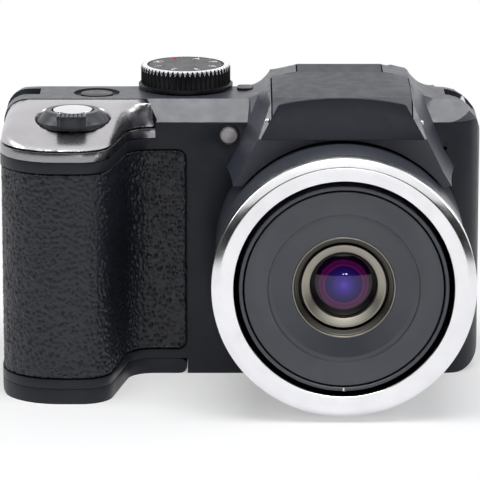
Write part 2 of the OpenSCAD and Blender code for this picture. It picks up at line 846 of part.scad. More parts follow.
// Plates on the door that join neighbouring cells, with a stud under each cell
module door_contacts() color("#c9b37a") {
  for (pair = [[0, 1], [2, 3]])
    let (a = cell_places[pair[0]], b = cell_places[pair[1]]) {
      hull() for (p = [a, b]) translate([p.x, p.y, door_t]) cylinder(h = contact_t, r = contact_w / 2);
      for (p = [a, b]) translate([p.x, p.y, door_t]) {
        cylinder(h = cell_z - door_t - play, r1 = contact_w / 2 - 1, r2 = stud_r);
      }
    }
}
// Plates over the tray's roof that carry the current on
module cell_contacts() color("#c9b37a")
  for (pair = [[1, 2], [0, 0], [3, 3]])
    let (a = cell_places[pair[0]], b = cell_places[pair[1]])
      hull() for (p = [a, b])
        translate([p.x, p.y, cell_top_z + seam + tray_roof_t]) cylinder(h = contact_t, r = contact_w / 2);

card_w = 24;
card_l = 32;
card_t = 2.1;
card_notch = 4;
card_proud = 3;
card_inset = 3.2;
card_gap = 1.3;
card_lift = 0.4;
card_wall = 0.5;
card_rim = 1;
card_x = door_axis_x - card_inset;
card_y = front_y + wall + card_gap;
card_z = tray_z + card_lift;
module memory_card() color("#20242c")
  along_x(card_x, card_x + card_t)
    polygon([
      [card_y, card_z], [card_y + card_w, card_z], [card_y + card_w, card_z + card_l],
      [card_y + card_notch, card_z + card_l], [card_y, card_z + card_l - card_notch]
    ]);
module memory_card_socket() color("#9a9ca0") difference() {
  span([card_x - card_wall, card_y - card_rim, card_z + card_proud],
    [card_x + card_t + card_wall, card_y + card_w + card_rim, card_z + card_l + card_rim]);
  span([card_x - seam, card_y - seam, card_z - 1],
    [card_x + card_t + seam, card_y + card_w + seam, card_z + card_l + seam]);
}

module tripod_bush() color("#b9babd") translate([bush_x, bush_y, 0]) difference() {
  union() {
    cylinder(h = thread_l + bush_roof, r = bush_r);
    translate([0, 0, wall + seam]) cylinder(h = bush_flange_t, r = bush_r + bush_flange_w);
  }
  translate([0, 0, -1]) cylinder(h = thread_l + 1, r = thread_r);
}

module cover_screws() color("#5a5b60") for (p = screw_places) translate([p.x, p.y, wall / 2]) {
  translate([0, 0, screw_sink - wall / 2]) cylinder(h = wall / 2 - screw_sink, r = screw_head_r);
  cylinder(h = screw_l, r = screw_r);
}

module strap_bars() color("#c4c4c8") for (s = [-1, 1])
  translate([s * strap_x, strap_y - strap_l / 2 - strap_bar_in, strap_bar_z]) rotate([-90, 0, 0])
    cylinder(h = strap_l + 2 * strap_bar_in, r = strap_bar_r);

// Lens: fixed barrel, ring and the two moving barrels
nose_sink = 0.7;
face = lens_reach - nose_sink;
tube_t = 1.2;
tube_r = nose_r - tube_t;
cell_bore_r = 8.7;
cell_wall = 1.4;
retainer_d = 4;
retainer_sink = 1.4;
lens_fn = 96;
shroud_flare = 0.3;
shroud_flare_d = 8;

module revolve(points) {
  on_lens_axis() rotate_extrude($fn = lens_fn) polygon(points);
}

module lens_shroud() color("#23252b") revolve([
  [bore_r, -spigot_d], [spigot_r, -spigot_d], [spigot_r, seam], [shroud_r + shroud_flare, seam],
  [shroud_r, shroud_flare_d], [shroud_r, ring_foot], [bore_r, ring_foot], [bore_r, guide_to],
  [barrel_r + fit, guide_to], [barrel_r + fit, guide_from], [bore_r, guide_from]
]);

ring_chamfer = 1.65;
ring_chamfer_d = 1.1;
ring_lip = 0.3;
module lens_ring() color("#cfd0d4") revolve([
  [ring_in_r, ring_foot + seam], [ring_r, ring_foot + seam], [ring_r, lens_reach - ring_chamfer_d],
  [ring_r - ring_chamfer, lens_reach], [ring_in_r + ring_lip, lens_reach], [ring_in_r, lens_reach - ring_lip]
]);

barrel_foot = guide_from - barrel_travel;
barrel_sink = 0.4;
barrel_edge = 0.2;
module rear_barrel() color("#2a2c32") revolve([
  [barrel_r - barrel_t, barrel_foot], [barrel_r, barrel_foot],
  [barrel_r, lens_reach - barrel_sink - barrel_edge], [barrel_r - barrel_edge, lens_reach - barrel_sink],
  [barrel_r - barrel_t, lens_reach - barrel_sink]
]);

flange_stop = 22;
flange_from = flange_stop - nose_travel;
flange_h = 3;
flange_r = barrel_r - barrel_t - fit;
retainer_foot = face - retainer_sink - retainer_d;
front_cell_d = 8.6;
front_cell_foot = face - front_cell_d;
nose_edge = 0.3;
step_d = 0.4;
nose_t = 2.6;
nose_floor_t = 3.4;
module front_barrel() color("#3a3c42") revolve([
  [tube_r, flange_from], [flange_r, flange_from], [flange_r, flange_from + flange_h],
  [nose_r, flange_from + flange_h], [nose_r, face - nose_edge], [nose_r - nose_edge, face],
  [step_r, face], [step_r - nose_edge, face - step_d], [retainer_r + seam, face - retainer_sink],
  [retainer_r + seam, retainer_foot], [cell_bore_r, retainer_foot], [cell_bore_r, front_cell_foot],
  [retainer_r + cell_wall, front_cell_foot],
  [retainer_r + cell_wall, face - nose_floor_t], [tube_r, face - nose_t]
]);

retainer_in_r = 9.3;
retainer_groove_d = 2.7;
bezel_w = 1.2;
bezel_d = 2.9;
bezel_foot_d = 5;
module retaining_ring() color("#6b6a60") revolve([
  [retainer_r, retainer_foot + seam], [retainer_r, face - retainer_sink],
  [retainer_in_r, face - retainer_sink], [retainer_in_r, face - retainer_groove_d],
  [glass_r + bezel_w, face - bezel_d], [glass_r + seam, face - bezel_foot_d],
  [glass_r + seam, retainer_foot + seam]
]);

// Glass with a spherical front: rise at the middle over a rim of radius r
function dome_points(r, rise, h, n = 8) =
  let (big = (r * r + rise * rise) / (2 * rise))
  [for (i = [n:-1:0]) let (x = r * i / n) [x, h + rise - big + sqrt(big * big - x * x)]];
front_lens_back = 8.4;
front_lens_rim = 6;
front_lens_rise = 1.2;
module front_lens() color("#4b3560") revolve(concat(
  [[0, face - front_lens_back], [cell_bore_r - seam, face - front_lens_back]],
  dome_points(cell_bore_r - seam, front_lens_rise, face - front_lens_rim)
));

iris_h = 26;
iris_t = 3;
iris_bore_r = 5;
middle_lens_r = 8;
middle_lens_t = 2;
middle_lens_rise = 0.8;
module iris_unit() color("#222222") revolve([
  [iris_bore_r, iris_h], [tube_r - seam, iris_h], [tube_r - seam, iris_h + iris_t],
  [iris_bore_r, iris_h + iris_t]
]);
module middle_lens() color("#7d8a99") revolve(concat(
  [[0, iris_h - 1 - middle_lens_t], [middle_lens_r, iris_h - 1 - middle_lens_t]],
  dome_points(middle_lens_r, middle_lens_rise, iris_h - 1)
));

base_r = 25.5;
base_in_r = 23.5;
base_d = 20;
base_t = 2;
sensor_hole_r = 8;
rear_lens_w = 1;
rear_lens_t = 1.5;
rear_lens_rise = 1.5;
module lens_base() color("#2a2a2e") revolve([
  [base_in_r, -spigot_d - seam], [base_r, -spigot_d - seam], [base_r, -base_d], [sensor_hole_r, -base_d],
  [sensor_hole_r, -base_d + base_t], [base_in_r, -base_d + base_t]
]);
module rear_lens() color("#7d8a99") revolve(concat(
  [[0, -base_d + base_t + seam], [sensor_hole_r + rear_lens_w, -base_d + base_t + seam]],
  dome_points(sensor_hole_r + rear_lens_w, rear_lens_rise, -base_d + base_t + seam + rear_lens_t)
));

sensor_w = 11;
sensor_h = 8.5;
sensor_board = [24, 1, 22];
module image_sensor() color("#37503c") translate([lens_x, front_y + base_d, lens_z]) {
  translate([-sensor_board.x / 2, seam, -sensor_board.z / 2]) cube(sensor_board);
  span([-sensor_w / 2, -1, -sensor_h / 2], [sensor_w / 2, seam + eps, sensor_h / 2]);
}

motor_r = 4;
motor_angle = 200;
motor_l = 11;
motor_shaft_r = 1.2;
motor_shaft_l = 2.5;
module zoom_motor() color("#8d8f94")
  translate([lens_x, 0, lens_z] + (base_r + motor_r + seam) * [cos(motor_angle), 0, sin(motor_angle)])
    translate([0, front_y + base_d, 0]) rotate([90, 0, 0]) {
      cylinder(h = motor_l, r = motor_r);
      cylinder(h = motor_l + motor_shaft_l, r = motor_shaft_r);
    }

capacitor_x = -8.3;
capacitor_y = front_y + 9.5;
capacitor_z = 25;
capacitor_r = 4;
capacitor_l = 30;
module flash_capacitor() color("#1d1f26")
  translate([capacitor_x, capacitor_y, capacitor_z]) cylinder(h = capacitor_l, r = capacitor_r);

// Flash: cover with nameplate, hinged between two knuckles
module crowned(hw_foot, hw_top, z0, z1) {
  steps = 8;
  polygon(concat(
    [[lens_x - hw_foot, z0], [lens_x + hw_foot, z0]],
    [for (i = [0:steps]) let (dx = hw_top * (1 - 2 * i / steps)) [lens_x + dx, crown_z(dx, z1)]]
  ));
}
lip_z = pocket_z + play;
tongue_t = 0.9;
tongue_drop = 0.7;
skirt_z = 63.5;
function plate_line(z) = nose_y + (z - plate_z) * plate_lean / (plate_top_z - plate_z);
module cover_profile(d) {
  polygon([
    [plate_line(lip_z) + plate_t + d, lip_z], [nose_top_y + plate_t + d, plate_top_z - d],
    [flash_back_y - d, top_line(flash_back_y) - d], [flash_back_y - d, skirt_z],
    [nose_top_y + plate_t, lip_z]
  ]);
}
module flash_cover() color("#3a3d46") difference() {
  union() {
    difference() {
      intersection() {
        across_hump() cover_profile(seam / 2);
        along_y(nose_y, back_y) crowned(flash_hw, flash_hw, plate_z - 1, hump_top);
      }
      intersection() {
        across_hump() translate([0, -eps]) offset(delta = -flash_t) polygon([
          [nose_y + plate_t, plate_z - over], [nose_top_y + plate_t, plate_top_z],
          [flash_back_y, top_line(flash_back_y)], [flash_back_y, plate_z - over]
        ]);
        along_y(nose_y, back_y)
          crowned(flash_hw - flash_t, flash_hw - flash_t, plate_z - 2, crest_z - flash_t);
      }
    }
    along_x(lens_x - tongue_hw, lens_x + tongue_hw) {
      translate([hinge_y, hinge_z]) circle(r = hinge_r);
      polygon([
        [flash_back_y - flash_t, top_line(flash_back_y) - tongue_drop - tongue_t],
        [flash_back_y - flash_t, top_line(flash_back_y) - tongue_drop],
        [hinge_y, hinge_z + hinge_r - eps], [hinge_y, hinge_z]
      ]);
    }
  }
  across_hump() translate([hinge_y, hinge_z]) circle(r = hinge_pin_r + fit);
}
module flash_nameplate() color("#1d2026") intersection() {
  across_hump() polygon([
    [nose_y, plate_z], [nose_top_y, plate_top_z],
    [nose_top_y + plate_t, plate_top_z], [nose_y + plate_t, plate_z]
  ]);
  along_y(nose_y, front_y) crowned(plate_hw, plate_top_hw, plate_z - eps, plate_top_z);
}

lamp_hw = 11;
lamp_setback = 12;
lamp_d = 10;
lamp_rim = 1;
lamp_depth = 1.7;
lamp_roof_gap = 0.9;
lamp_taper = 0.3;
lamp_from = nose_y + lamp_setback;
lamp_to = lamp_from + lamp_d;
window_sink = 0.5;
window_z = pocket_z + window_sink;
flash_pane_t = 1;
pane_grooves = 8;
pane_groove = 0.4;
module flash_reflector() color("#d9dade") difference() {
  span([lens_x - lamp_hw - lamp_rim, lamp_from - lamp_rim, window_z + flash_pane_t + seam],
    [lens_x + lamp_hw + lamp_rim, lamp_to + lamp_rim, plate_top_z - flash_t - lamp_roof_gap]);
  along_x(lens_x - lamp_hw, lens_x + lamp_hw)
    polygon([
      [lamp_from, window_z + flash_pane_t], [lamp_to, window_z + flash_pane_t],
      [mix(lamp_to, lamp_from, lamp_taper), window_z + flash_pane_t + lamp_depth],
      [mix(lamp_from, lamp_to, lamp_taper), window_z + flash_pane_t + lamp_depth]
    ]);
}
module flash_window() color("#dfe3e6") difference() {
  span([lens_x - lamp_hw - lamp_rim, lamp_from - lamp_rim, window_z],
    [lens_x + lamp_hw + lamp_rim, lamp_to + lamp_rim, window_z + flash_pane_t]);
  for (i = [1:pane_grooves])
    translate([lens_x, mix(lamp_from, lamp_to, i / (pane_grooves + 1)), window_z]) rotate([45, 0, 0])
      cube([2 * lamp_hw, pane_groove, pane_groove], center = true);
}
module flash_hinge_pin() color("#b5b5b5")
  along_x(lens_x - flash_hw + 1, lens_x + flash_hw - 1) translate([hinge_y, hinge_z]) circle(r = hinge_pin_r);

// Controls on the top
dial_z = dial_base_z + seam;
dial_flange_w = 0.5;
dial_flange_r = dial_r + dial_flange_w;
dial_flange_h = 0.8;
dial_plate_r = 8.5;
dial_plate_t = 0.4;
groove_d = 0.28;
dial_rim_h = 0.7;
dial_rim_w = 0.4;
module mode_dial() color("#1b1c20") translate([dial_x, dial_y, dial_z]) difference() {
  union() {
    cylinder(h = dial_flange_h, r = dial_flange_r);
    linear_extrude(dial_h - dial_rim_h) polygon([
      for (i = [0:dial_grooves - 1], k = [0:3])
        let (a = 360 * (i + k / 4) / dial_grooves, r = dial_r - (k < 2 ? 0 : groove_d)) r * [cos(a), sin(a)]
    ]);
    translate([0, 0, dial_h - dial_rim_h])
      cylinder(h = dial_rim_h, r1 = dial_r - groove_d, r2 = dial_plate_r + dial_rim_w);
  }
  translate([0, 0, dial_h - dial_plate_t]) cylinder(h = 1, r = dial_plate_r + seam);
}
module mode_dial_plate() color("#2e2f33") translate([dial_x, dial_y, dial_z + dial_h - dial_plate_t])
  cylinder(h = dial_plate_t, r = dial_plate_r);
shaft_flange_r = 3.6;
shaft_flange_t = 0.8;
shaft_drop = 2;
shaft_foot_z = deck_z - deck_t - shaft_drop;
module dial_shaft() color("#a8a9ad") translate([dial_x, dial_y, 0]) {
  translate([0, 0, shaft_foot_z]) cylinder(h = shaft_flange_t, r = shaft_flange_r);
  translate([0, 0, shaft_foot_z]) cylinder(h = dial_z - shaft_foot_z, r = dial_shaft_r);
}

board_z = 56.8;
board_top_z = board_z + board_t;
stop = 0.15;
key_sink = 0.1;
key_flange_w = 0.8;
power_stem_r = 1.5;
module power_key() color("#1d1e22") translate([power_x, power_y, 0]) {
  translate([0, 0, board_top_z + key_travel + stop])
    cylinder(h = deck_z - key_sink - board_top_z - key_travel - stop, r = power_stem_r);
  translate([0, 0, deck_z - deck_t - seam - key_flange]) cylinder(h = key_flange, r = power_r + key_flange_w);
  translate([0, 0, deck_z - deck_t - seam - key_flange])
    cylinder(h = deck_t + key_flange + seam - key_sink, r = power_r);
}
flash_key_foot = 2;
flash_key_rise = 0.5;
flash_key_r = 0.9;
module flash_key() color("#17181b")
  translate([flash_key_x, flash_key_y, deck_z - deck_t - flash_key_foot])
    linear_extrude(deck_t + flash_key_foot + flash_key_rise)
      rounded_box_2d(flash_key_w, flash_key_l, flash_key_r);
shutter_rise = 0.5;
shutter_proud = 0.2;
shutter_foot_z = lever_z + 1;
module shutter_button() color("#d7d8dc") translate([shutter_x, shutter_y, 0]) {
  rotate_extrude() polygon(concat(
    [[0, shutter_foot_z], [shutter_r, shutter_foot_z]],
    dome_points(shutter_r, shutter_rise, lever_z + lever_h + shutter_proud)
  ));
  translate([0, 0, board_top_z + shutter_travel + stop])
    cylinder(h = shutter_foot_z - board_top_z - shutter_travel - stop, r = stem_r);
}
tab_reach = 9.4;
tab_ribs = 6;
tab_lift = 0.8;
tab_rise = 0.2;
tab_root = 1;
rib_w = 0.45;
rib_l = 4.4;
rib_setback = 1.2;
lever_edge_h = 1;
lever_lean = 2;
module zoom_lever() color("#33353b") translate([shutter_x, shutter_y, 0]) difference() {
  union() {
    rotate_extrude() polygon([
      [shutter_r + play, lever_z], [lever_r, lever_z], [lever_r, lever_z + lever_edge_h],
      [lever_r - lever_lean, lever_z + lever_h], [shutter_r + play, lever_z + lever_h]
    ]);
    intersection() {
      span([-tab_w / 2, -tab_reach, lever_z + tab_lift],
        [tab_w / 2, -shutter_r - tab_root, lever_z + lever_h + tab_rise]);
      cylinder(h = deck_z + over, r = tab_reach);
    }
  }
  for (i = [1:tab_ribs])
    translate([tab_w * (i / (tab_ribs + 1) - 0.5), rib_setback - tab_reach, lever_z + lever_h + tab_rise])
      rotate([0, 45, 0]) cube([rib_w, rib_l, rib_w], center = true);
}
switch_board_gap = 1.5;
switch_board_w = 29;
switch_board_setback = 3;
switch_board_back = 8;
module switch_board() color("#2f5a3c") intersection() {
  along_z(board_z, board_top_z) body_plan(wall + switch_board_gap);
  span([left, cell_y - switch_board_setback, board_z],
    [left + switch_board_w, back_y - switch_board_back, board_top_z]);
}
module af_lamp() color("#d8c9c4") translate([lamp_x, front_y, lamp_z]) rotate([90, 0, 0]) {
  translate([0, 0, -wall - lamp_tail]) cylinder(h = wall + lamp_tail, r = lamp_r);
  rotate_extrude()
    polygon(concat([[0, -eps], [lamp_r - lamp_edge, -eps]], dome_points(lamp_r - lamp_edge, lamp_rise, 0)));
}

// Boards, screen and keys at the back
inner_back = back_y - wall;
screen_t = 3.5;
bracket_t = 1;
pcb_t = 1.2;
module_w = screen_w - 3;
module_foot = 22;
module_head = 24.5;
board_foot = 20;
board_lap = 0.5;
board_left = -13;
bracket_left = -14;
module screen_module() color("#3c4350") span(
  [screen_x - module_w / 2, inner_back - seam - screen_t, screen_z - module_foot],
  [screen_x + module_w / 2, inner_back - seam, screen_z + module_head]
);
module screen_bracket() color("#8f9196") span(
  [bracket_left, inner_back - 2 * seam - screen_t - bracket_t, screen_z - board_foot],
  [screen_x + module_w / 2, inner_back - 2 * seam - screen_t, screen_z + module_head - board_lap]
);
module main_board() color("#2f5a3c") span(
  [board_left, inner_back - 3 * seam - screen_t - bracket_t - pcb_t, screen_z - board_foot],
  [screen_x + module_w / 2, inner_back - 3 * seam - screen_t - bracket_t, screen_z + module_head + board_lap]
);
module screen_window() color("#16181c") on_back(screen_x, screen_z, back_y - seam / 2)
  linear_extrude(window_t) rounded_box_2d(screen_w, screen_h, screen_r);
key_board_w = 26;
key_board_z = 8;
key_board_top = 52;
module key_board() color("#2f5a3c") span(
  [panel_x - key_board_w / 2, board_y, key_board_z],
  [panel_x + key_board_w / 2, board_y + board_t, key_board_top]
);

key_recess = 0.25;
key_stem_r = 1.2;
key_out_y = back_y - key_recess;
// Round key on the back: face, flange behind the wall and a stem to its switch
module round_key(p) {
  on_back(p.x, p.y, key_out_y) cylinder(h = key_out_y - inner_back + seam + key_flange, r = key_r);
  on_back(p.x, p.y, inner_back - seam) cylinder(h = key_flange, r = key_r + key_flange_w);
  on_back(p.x, p.y, inner_back)
    cylinder(h = inner_back - board_y - board_t - key_travel - stop, r = key_stem_r);
}
module video_key() color("#26272b") round_key(key_places[0]);
module menu_key() color("#26272b") round_key(key_places[1]);
module play_key() color("#26272b") round_key(key_places[2]);
module delete_key() color("#26272b") round_key(key_places[3]);

set_r = 3.9;
nav_flange_t = 0.7;
nav_flange_w = 0.9;
nav_flange_y = inner_back - nav_flange_t;
module nav_ring() color("#2c2d32") difference() {
  union() {
    on_back(nav_x, nav_z, key_out_y) cylinder(h = key_out_y - nav_flange_y + nav_flange_t, r = nav_r);
    on_back(nav_x, nav_z, nav_flange_y) cylinder(h = nav_flange_t, r = nav_r + nav_flange_w);
  }
  on_back(nav_x, nav_z, back_y) cylinder(h = wall + over, r = set_r + play);
}
module set_key() color("#26272b") on_back(nav_x, nav_z, key_out_y)
  cylinder(h = key_out_y - board_y - board_t - key_travel - stop, r = set_r);

// Port cover on the lens side of the body, hinged at its rear edge
module port_cover() color("#1f2025") {
  span([right - port_t, port_y - port_w, port_z - port_h / 2],
    [right - seam / 2, port_y, port_z + port_h / 2]);
  translate([right - port_t / 2 - seam / 4, port_y, port_z - port_h / 2])
    cylinder(h = port_h, r = port_t / 2 - seam / 4);
  translate([right - port_t / 2, port_y, port_z - port_h / 2 - port_pin_l])
    cylinder(h = port_h + 2 * port_pin_l, r = port_pin_r);
}
socket_t = 0.4;
socket_d = 3;
socket_back = 0.5;
contact_bar_t = 0.8;
contact_bar_h = 5.2;
module socket_mouth(d) {
  span([0, -socket_w / 2 + d, -socket_h / 2 + d], [socket_d, socket_w / 2 - d, socket_h / 2 - d]);
}
module usb_socket() color("#b8b9bc")
  translate([right - wall - socket_d - socket_back, port_y - port_w / 2, port_z]) {
    difference() {
      socket_mouth(0);
      translate([socket_t, 0, 0]) socket_mouth(socket_t);
    }
    span([socket_t - eps, -contact_bar_t / 2, -contact_bar_h / 2],
      [socket_d - socket_t, contact_bar_t / 2, contact_bar_h / 2]);
  }

front_cover();
rear_cover();
top_cover();
grip_cap();
grip_trim();
grip_rubber();
battery_door();
door_slider();
door_pin();
door_contacts();
battery_tray();
battery_cells();
cell_contacts();
memory_card_socket();
memory_card();
tripod_bush();
strap_bars();
lens_shroud();
lens_ring();
rear_barrel();
front_barrel();
retaining_ring();
front_lens();
iris_unit();
middle_lens();
lens_base();
rear_lens();
image_sensor();
zoom_motor();
flash_cover();
flash_nameplate();
flash_window();
flash_reflector();
flash_hinge_pin();
flash_capacitor();
flash_key();
mode_dial();
mode_dial_plate();
dial_shaft();
power_key();
shutter_button();
zoom_lever();
switch_board();
af_lamp();
main_board();
screen_bracket();
screen_module();
screen_window();
key_board();
nav_ring();
set_key();
menu_key();
play_key();
delete_key();
video_key();
port_cover();
usb_socket();
cover_screws();
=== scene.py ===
"""Bridge camera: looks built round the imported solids. Metres, +Z up, the lens looks along -Y."""
import json
import math

import bmesh
import bpy
from mathutils import Matrix, Vector
from mathutils.kdtree import KDTree


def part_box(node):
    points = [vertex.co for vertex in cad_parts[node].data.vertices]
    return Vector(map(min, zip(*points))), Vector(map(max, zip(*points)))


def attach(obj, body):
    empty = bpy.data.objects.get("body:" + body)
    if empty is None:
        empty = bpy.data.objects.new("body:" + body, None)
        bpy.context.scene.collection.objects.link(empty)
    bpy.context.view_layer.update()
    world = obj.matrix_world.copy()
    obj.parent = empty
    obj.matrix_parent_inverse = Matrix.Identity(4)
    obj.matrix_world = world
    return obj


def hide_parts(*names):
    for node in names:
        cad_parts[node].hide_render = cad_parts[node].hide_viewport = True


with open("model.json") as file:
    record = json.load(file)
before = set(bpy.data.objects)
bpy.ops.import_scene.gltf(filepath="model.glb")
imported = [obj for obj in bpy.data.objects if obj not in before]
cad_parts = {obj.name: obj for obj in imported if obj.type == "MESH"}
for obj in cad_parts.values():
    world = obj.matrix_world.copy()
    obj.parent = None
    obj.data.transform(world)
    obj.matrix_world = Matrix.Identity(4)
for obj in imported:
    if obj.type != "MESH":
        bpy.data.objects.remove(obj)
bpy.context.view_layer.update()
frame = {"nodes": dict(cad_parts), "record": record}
nodes = frame["nodes"]

MM = 0.001

# The photograph's view
VIEW_TARGET = Vector((-0.55, 3.5, 31.05)) * MM
VIEW_DISTANCE = 0.9
VIEW_RISE = math.radians(13.5)
VIEW_LENS_MM = 299.7
VIEW_SENSOR_MM = 36
VIEW_PIXELS = 480

SLOTS = {part["node"]: part["material_slot"] for part in frame["record"]["subparts"]}
BODIES = {node: body for body, members in frame["record"]["behaviour"]["bodies"].items() for node in members}


def centre(node):
    """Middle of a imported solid."""
    low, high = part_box(node)
    return (low + high) / 2


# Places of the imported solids
LENS_FRONT = Vector((centre("lens_ring").x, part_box("lens_ring")[0].y, centre("lens_ring").z))
FORWARD = Vector((0, -1, 0))
BACKWARD = Vector((0, 1, 0))
UP = Vector((0, 0, 1))
RIGHT = Vector((1, 0, 0))
LEFT = Vector((-1, 0, 0))


def srgb(*levels):
    """Linear colour of an 8-bit sRGB level or triple."""
    if len(levels) == 1:
        levels = levels * 3
    shares = [v / 255 for v in levels]
    linear = [s / 12.92 if s <= 0.04045 else ((s + 0.055) / 1.055) ** 2.4 for s in shares]
    return (*linear, 1.0)


# Materials

class Shader:
    """A material's node tree with short names for what this scene needs."""

    def __init__(self, name):
        self.material = bpy.data.materials.new(name)
        self.material.use_nodes = True
        self.tree = self.material.node_tree
        self.surface = self.tree.nodes["Principled BSDF"]
        self.place = self.add("ShaderNodeTexCoord").outputs["Object"]

    def add(self, kind, **values):
        node = self.tree.nodes.new(kind)
        for key, value in values.items():
            setattr(node, key, value)
        return node

    def link(self, source, target):
        self.tree.links.new(source, target)

    def set(self, **sockets):
        for name, value in sockets.items():
            self.surface.inputs[name.replace("_", " ")].default_value = value

    def noise(self, size_mm, detail=2.0):
        """Noise from 0 to 1 with features of about that size."""
        node = self.add("ShaderNodeTexNoise")
        node.inputs["Scale"].default_value = 1 / (size_mm * MM)
        node.inputs["Detail"].default_value = detail
        self.link(self.place, node.inputs["Vector"])
        return node.outputs["Fac"]

    def from_axis(self, point, unit_mm):
        """Distance from a line along Y through a point, in units of so many mm."""
        node = self.add("ShaderNodeVectorMath", operation="SUBTRACT")
        self.link(self.place, node.inputs[0])
        node.inputs[1].default_value = point
        flat = self.add("ShaderNodeVectorMath", operation="MULTIPLY")
        self.link(node.outputs["Vector"], flat.inputs[0])
        flat.inputs[1].default_value = (1, 0, 1)
        length = self.add("ShaderNodeVectorMath", operation="LENGTH")
        self.link(flat.outputs["Vector"], length.inputs[0])
        return self.math("DIVIDE", length.outputs["Value"], unit_mm * MM)

    def remap(self, value, low, high, start=0.0, end=1.0):
        node = self.add("ShaderNodeMapRange")
        node.inputs["From Min"].default_value = start
        node.inputs["From Max"].default_value = end
        node.inputs["To Min"].default_value = low
        node.inputs["To Max"].default_value = high
        self.link(value, node.inputs["Value"])
        return node.outputs["Result"]

    def math(self, operation, a, b):
        node = self.add("ShaderNodeMath", operation=operation)
        for socket, value in zip(node.inputs, (a, b)):
            if isinstance(value, (int, float)):
                socket.default_value = value
            else:
                self.link(value, socket)
        return node.outputs["Value"]

    def ramp(self, value, stops):
        """Colours along a value; stops are (place, colour)."""
        node = self.add("ShaderNodeValToRGB")
        steps = node.color_ramp.elements
        while len(steps) < len(stops):
            steps.new(0.5)
        for step, (place, colour) in zip(steps, stops):
            step.position = place
            step.color = colour
        self.link(value, node.inputs["Fac"])
        return node.outputs["Color"]

    def colour(self, source):
        self.link(source, self.surface.inputs["Base Color"])

    def rough(self, source):
        self.link(source, self.surface.inputs["Roughness"])

    def bump(self, height, depth_mm):
        node = self.add("ShaderNodeBump")
        node.inputs["Distance"].default_value = depth_mm * MM
        self.link(height, node.inputs["Height"])
        self.link(node.outputs["Normal"], self.surface.inputs["Normal"])


def shade(colour, factor):
    """A colour made lighter or darker."""
    return (*[min(1.0, c * factor) for c in colour[:3]], 1.0)


# Most of a noise lies between these
NOISE_LOW, NOISE_HIGH = 0.3, 0.7
NOISE_DETAIL = 3
GLOSS_PATCH_MM = 2.5


def uneven(shader, colour, vary, rough, spread, cloud_mm):
    """Slightly uneven colour and gloss."""
    cloud = shader.noise(cloud_mm, NOISE_DETAIL)
    tones = [(NOISE_LOW, shade(colour, 1 - vary)), (NOISE_HIGH, shade(colour, 1 + vary))]
    shader.colour(shader.ramp(cloud, tones))
    patches = shader.noise(GLOSS_PATCH_MM, NOISE_DETAIL)
    shader.rough(shader.remap(patches, rough - spread, rough + spread, NOISE_LOW, NOISE_HIGH))


def moulded(name, colour, rough, specular=0.3, grain_mm=0.3, grain_depth_mm=0.012, coat=0.0):
    """Moulded plastic with a fine spark-eroded grain."""
    shader = Shader(name)
    uneven(shader, colour, vary=0.12, rough=rough, spread=0.05, cloud_mm=9)
    shader.bump(shader.noise(grain_mm), grain_depth_mm)
    shader.set(Specular_IOR_Level=specular, Coat_Weight=coat, Coat_Roughness=0.08)
    return shader.material


def metal(name, colour, rough, grain_mm=0.25, grain_depth_mm=0.002):
    """Bare or plated metal with a faint unevenness."""
    shader = Shader(name)
    uneven(shader, colour, vary=0.05, rough=rough, spread=0.03, cloud_mm=6)
    shader.bump(shader.noise(grain_mm), grain_depth_mm)
    shader.set(Metallic=1.0)
    return shader.material


GLASS_R_MM = 7.3
GLASS_WOBBLE, GLASS_WOBBLE_MM = 0.06, 3
# Painted reflections of the coatings and inner lenses, as colours by distance from the lens axis
GLASS_PAINTED_REFLECTIONS = [
    (0.0, srgb(96, 72, 190)), (0.2, srgb(66, 44, 150)), (0.42, srgb(40, 22, 104)), (0.58, srgb(30, 12, 70)),
    (0.62, srgb(112, 24, 104)), (0.67, srgb(58, 12, 66)), (0.74, srgb(96, 18, 84)), (0.8, srgb(22, 4, 30)),
    (1.0, srgb(8, 3, 14)),
]


def coated_glass():
    """Dark multi-coated glass with painted reflections of its coatings and inner lenses: violet in the
    middle, a magenta ring, black towards the rim.
    """
    shader = Shader("coated_glass")
    reach = shader.from_axis(LENS_FRONT, GLASS_R_MM)
    wobble = shader.math("MULTIPLY", shader.noise(GLASS_WOBBLE_MM), GLASS_WOBBLE)
    shader.colour(shader.ramp(shader.math("ADD", reach, wobble), GLASS_PAINTED_REFLECTIONS))
    shader.set(Roughness=0.03, Specular_IOR_Level=0.25, Coat_Weight=0.4, Coat_Roughness=0.02)
    return shader.material


def turned_finish(name, colour):
    """Lathe-turned black finish: its sheen runs in wedges round the lens."""
    shader = Shader(name)
    uneven(shader, colour, vary=0.06, rough=0.34, spread=0.03, cloud_mm=6)
    grain = shader.add("ShaderNodeTangent", direction_type="RADIAL", axis="Y")
    shader.link(grain.outputs["Tangent"], shader.surface.inputs["Tangent"])
    shader.set(Specular_IOR_Level=0.6, Anisotropic=0.8)
    return shader.material


RETAINER_R_MM = 11.2
# Colours by distance from the lens axis: warm bezel, a near-black painted shadow in the groove, a darker
# outer face, a thin painted highlight at the rim
RETAINER_TONES_PAINTED_SHADOW_AND_HIGHLIGHT = [
    (0.6, srgb(168, 164, 153)), (0.815, srgb(158, 154, 143)), (0.83, srgb(26, 26, 25)),
    (0.875, srgb(62, 61, 57)), (0.95, srgb(84, 82, 77)), (0.975, srgb(150, 147, 138)),
]


def retainer_metal():
    """Warm bright bezel, a near-black band in the groove that is painted shadow, a darker outer face, and a
    thin bright band at the rim that is a painted highlight.
    """
    shader = Shader("retainer_metal")
    shader.colour(shader.ramp(shader.from_axis(LENS_FRONT, RETAINER_R_MM), RETAINER_TONES_PAINTED_SHADOW_AND_HIGHLIGHT))
    shader.rough(shader.remap(shader.noise(size_mm=2), low=0.36, high=0.44))
    shader.set(Metallic=1.0)
    return shader.material


# Heights between which a cell's sleeve changes colour, and its colours along them
CELL_FROM_MM, CELL_TO_MM = 30, 50
CELL_COLOURS = [(0.3, srgb(30, 31, 34)), (0.36, srgb(176, 112, 60))]


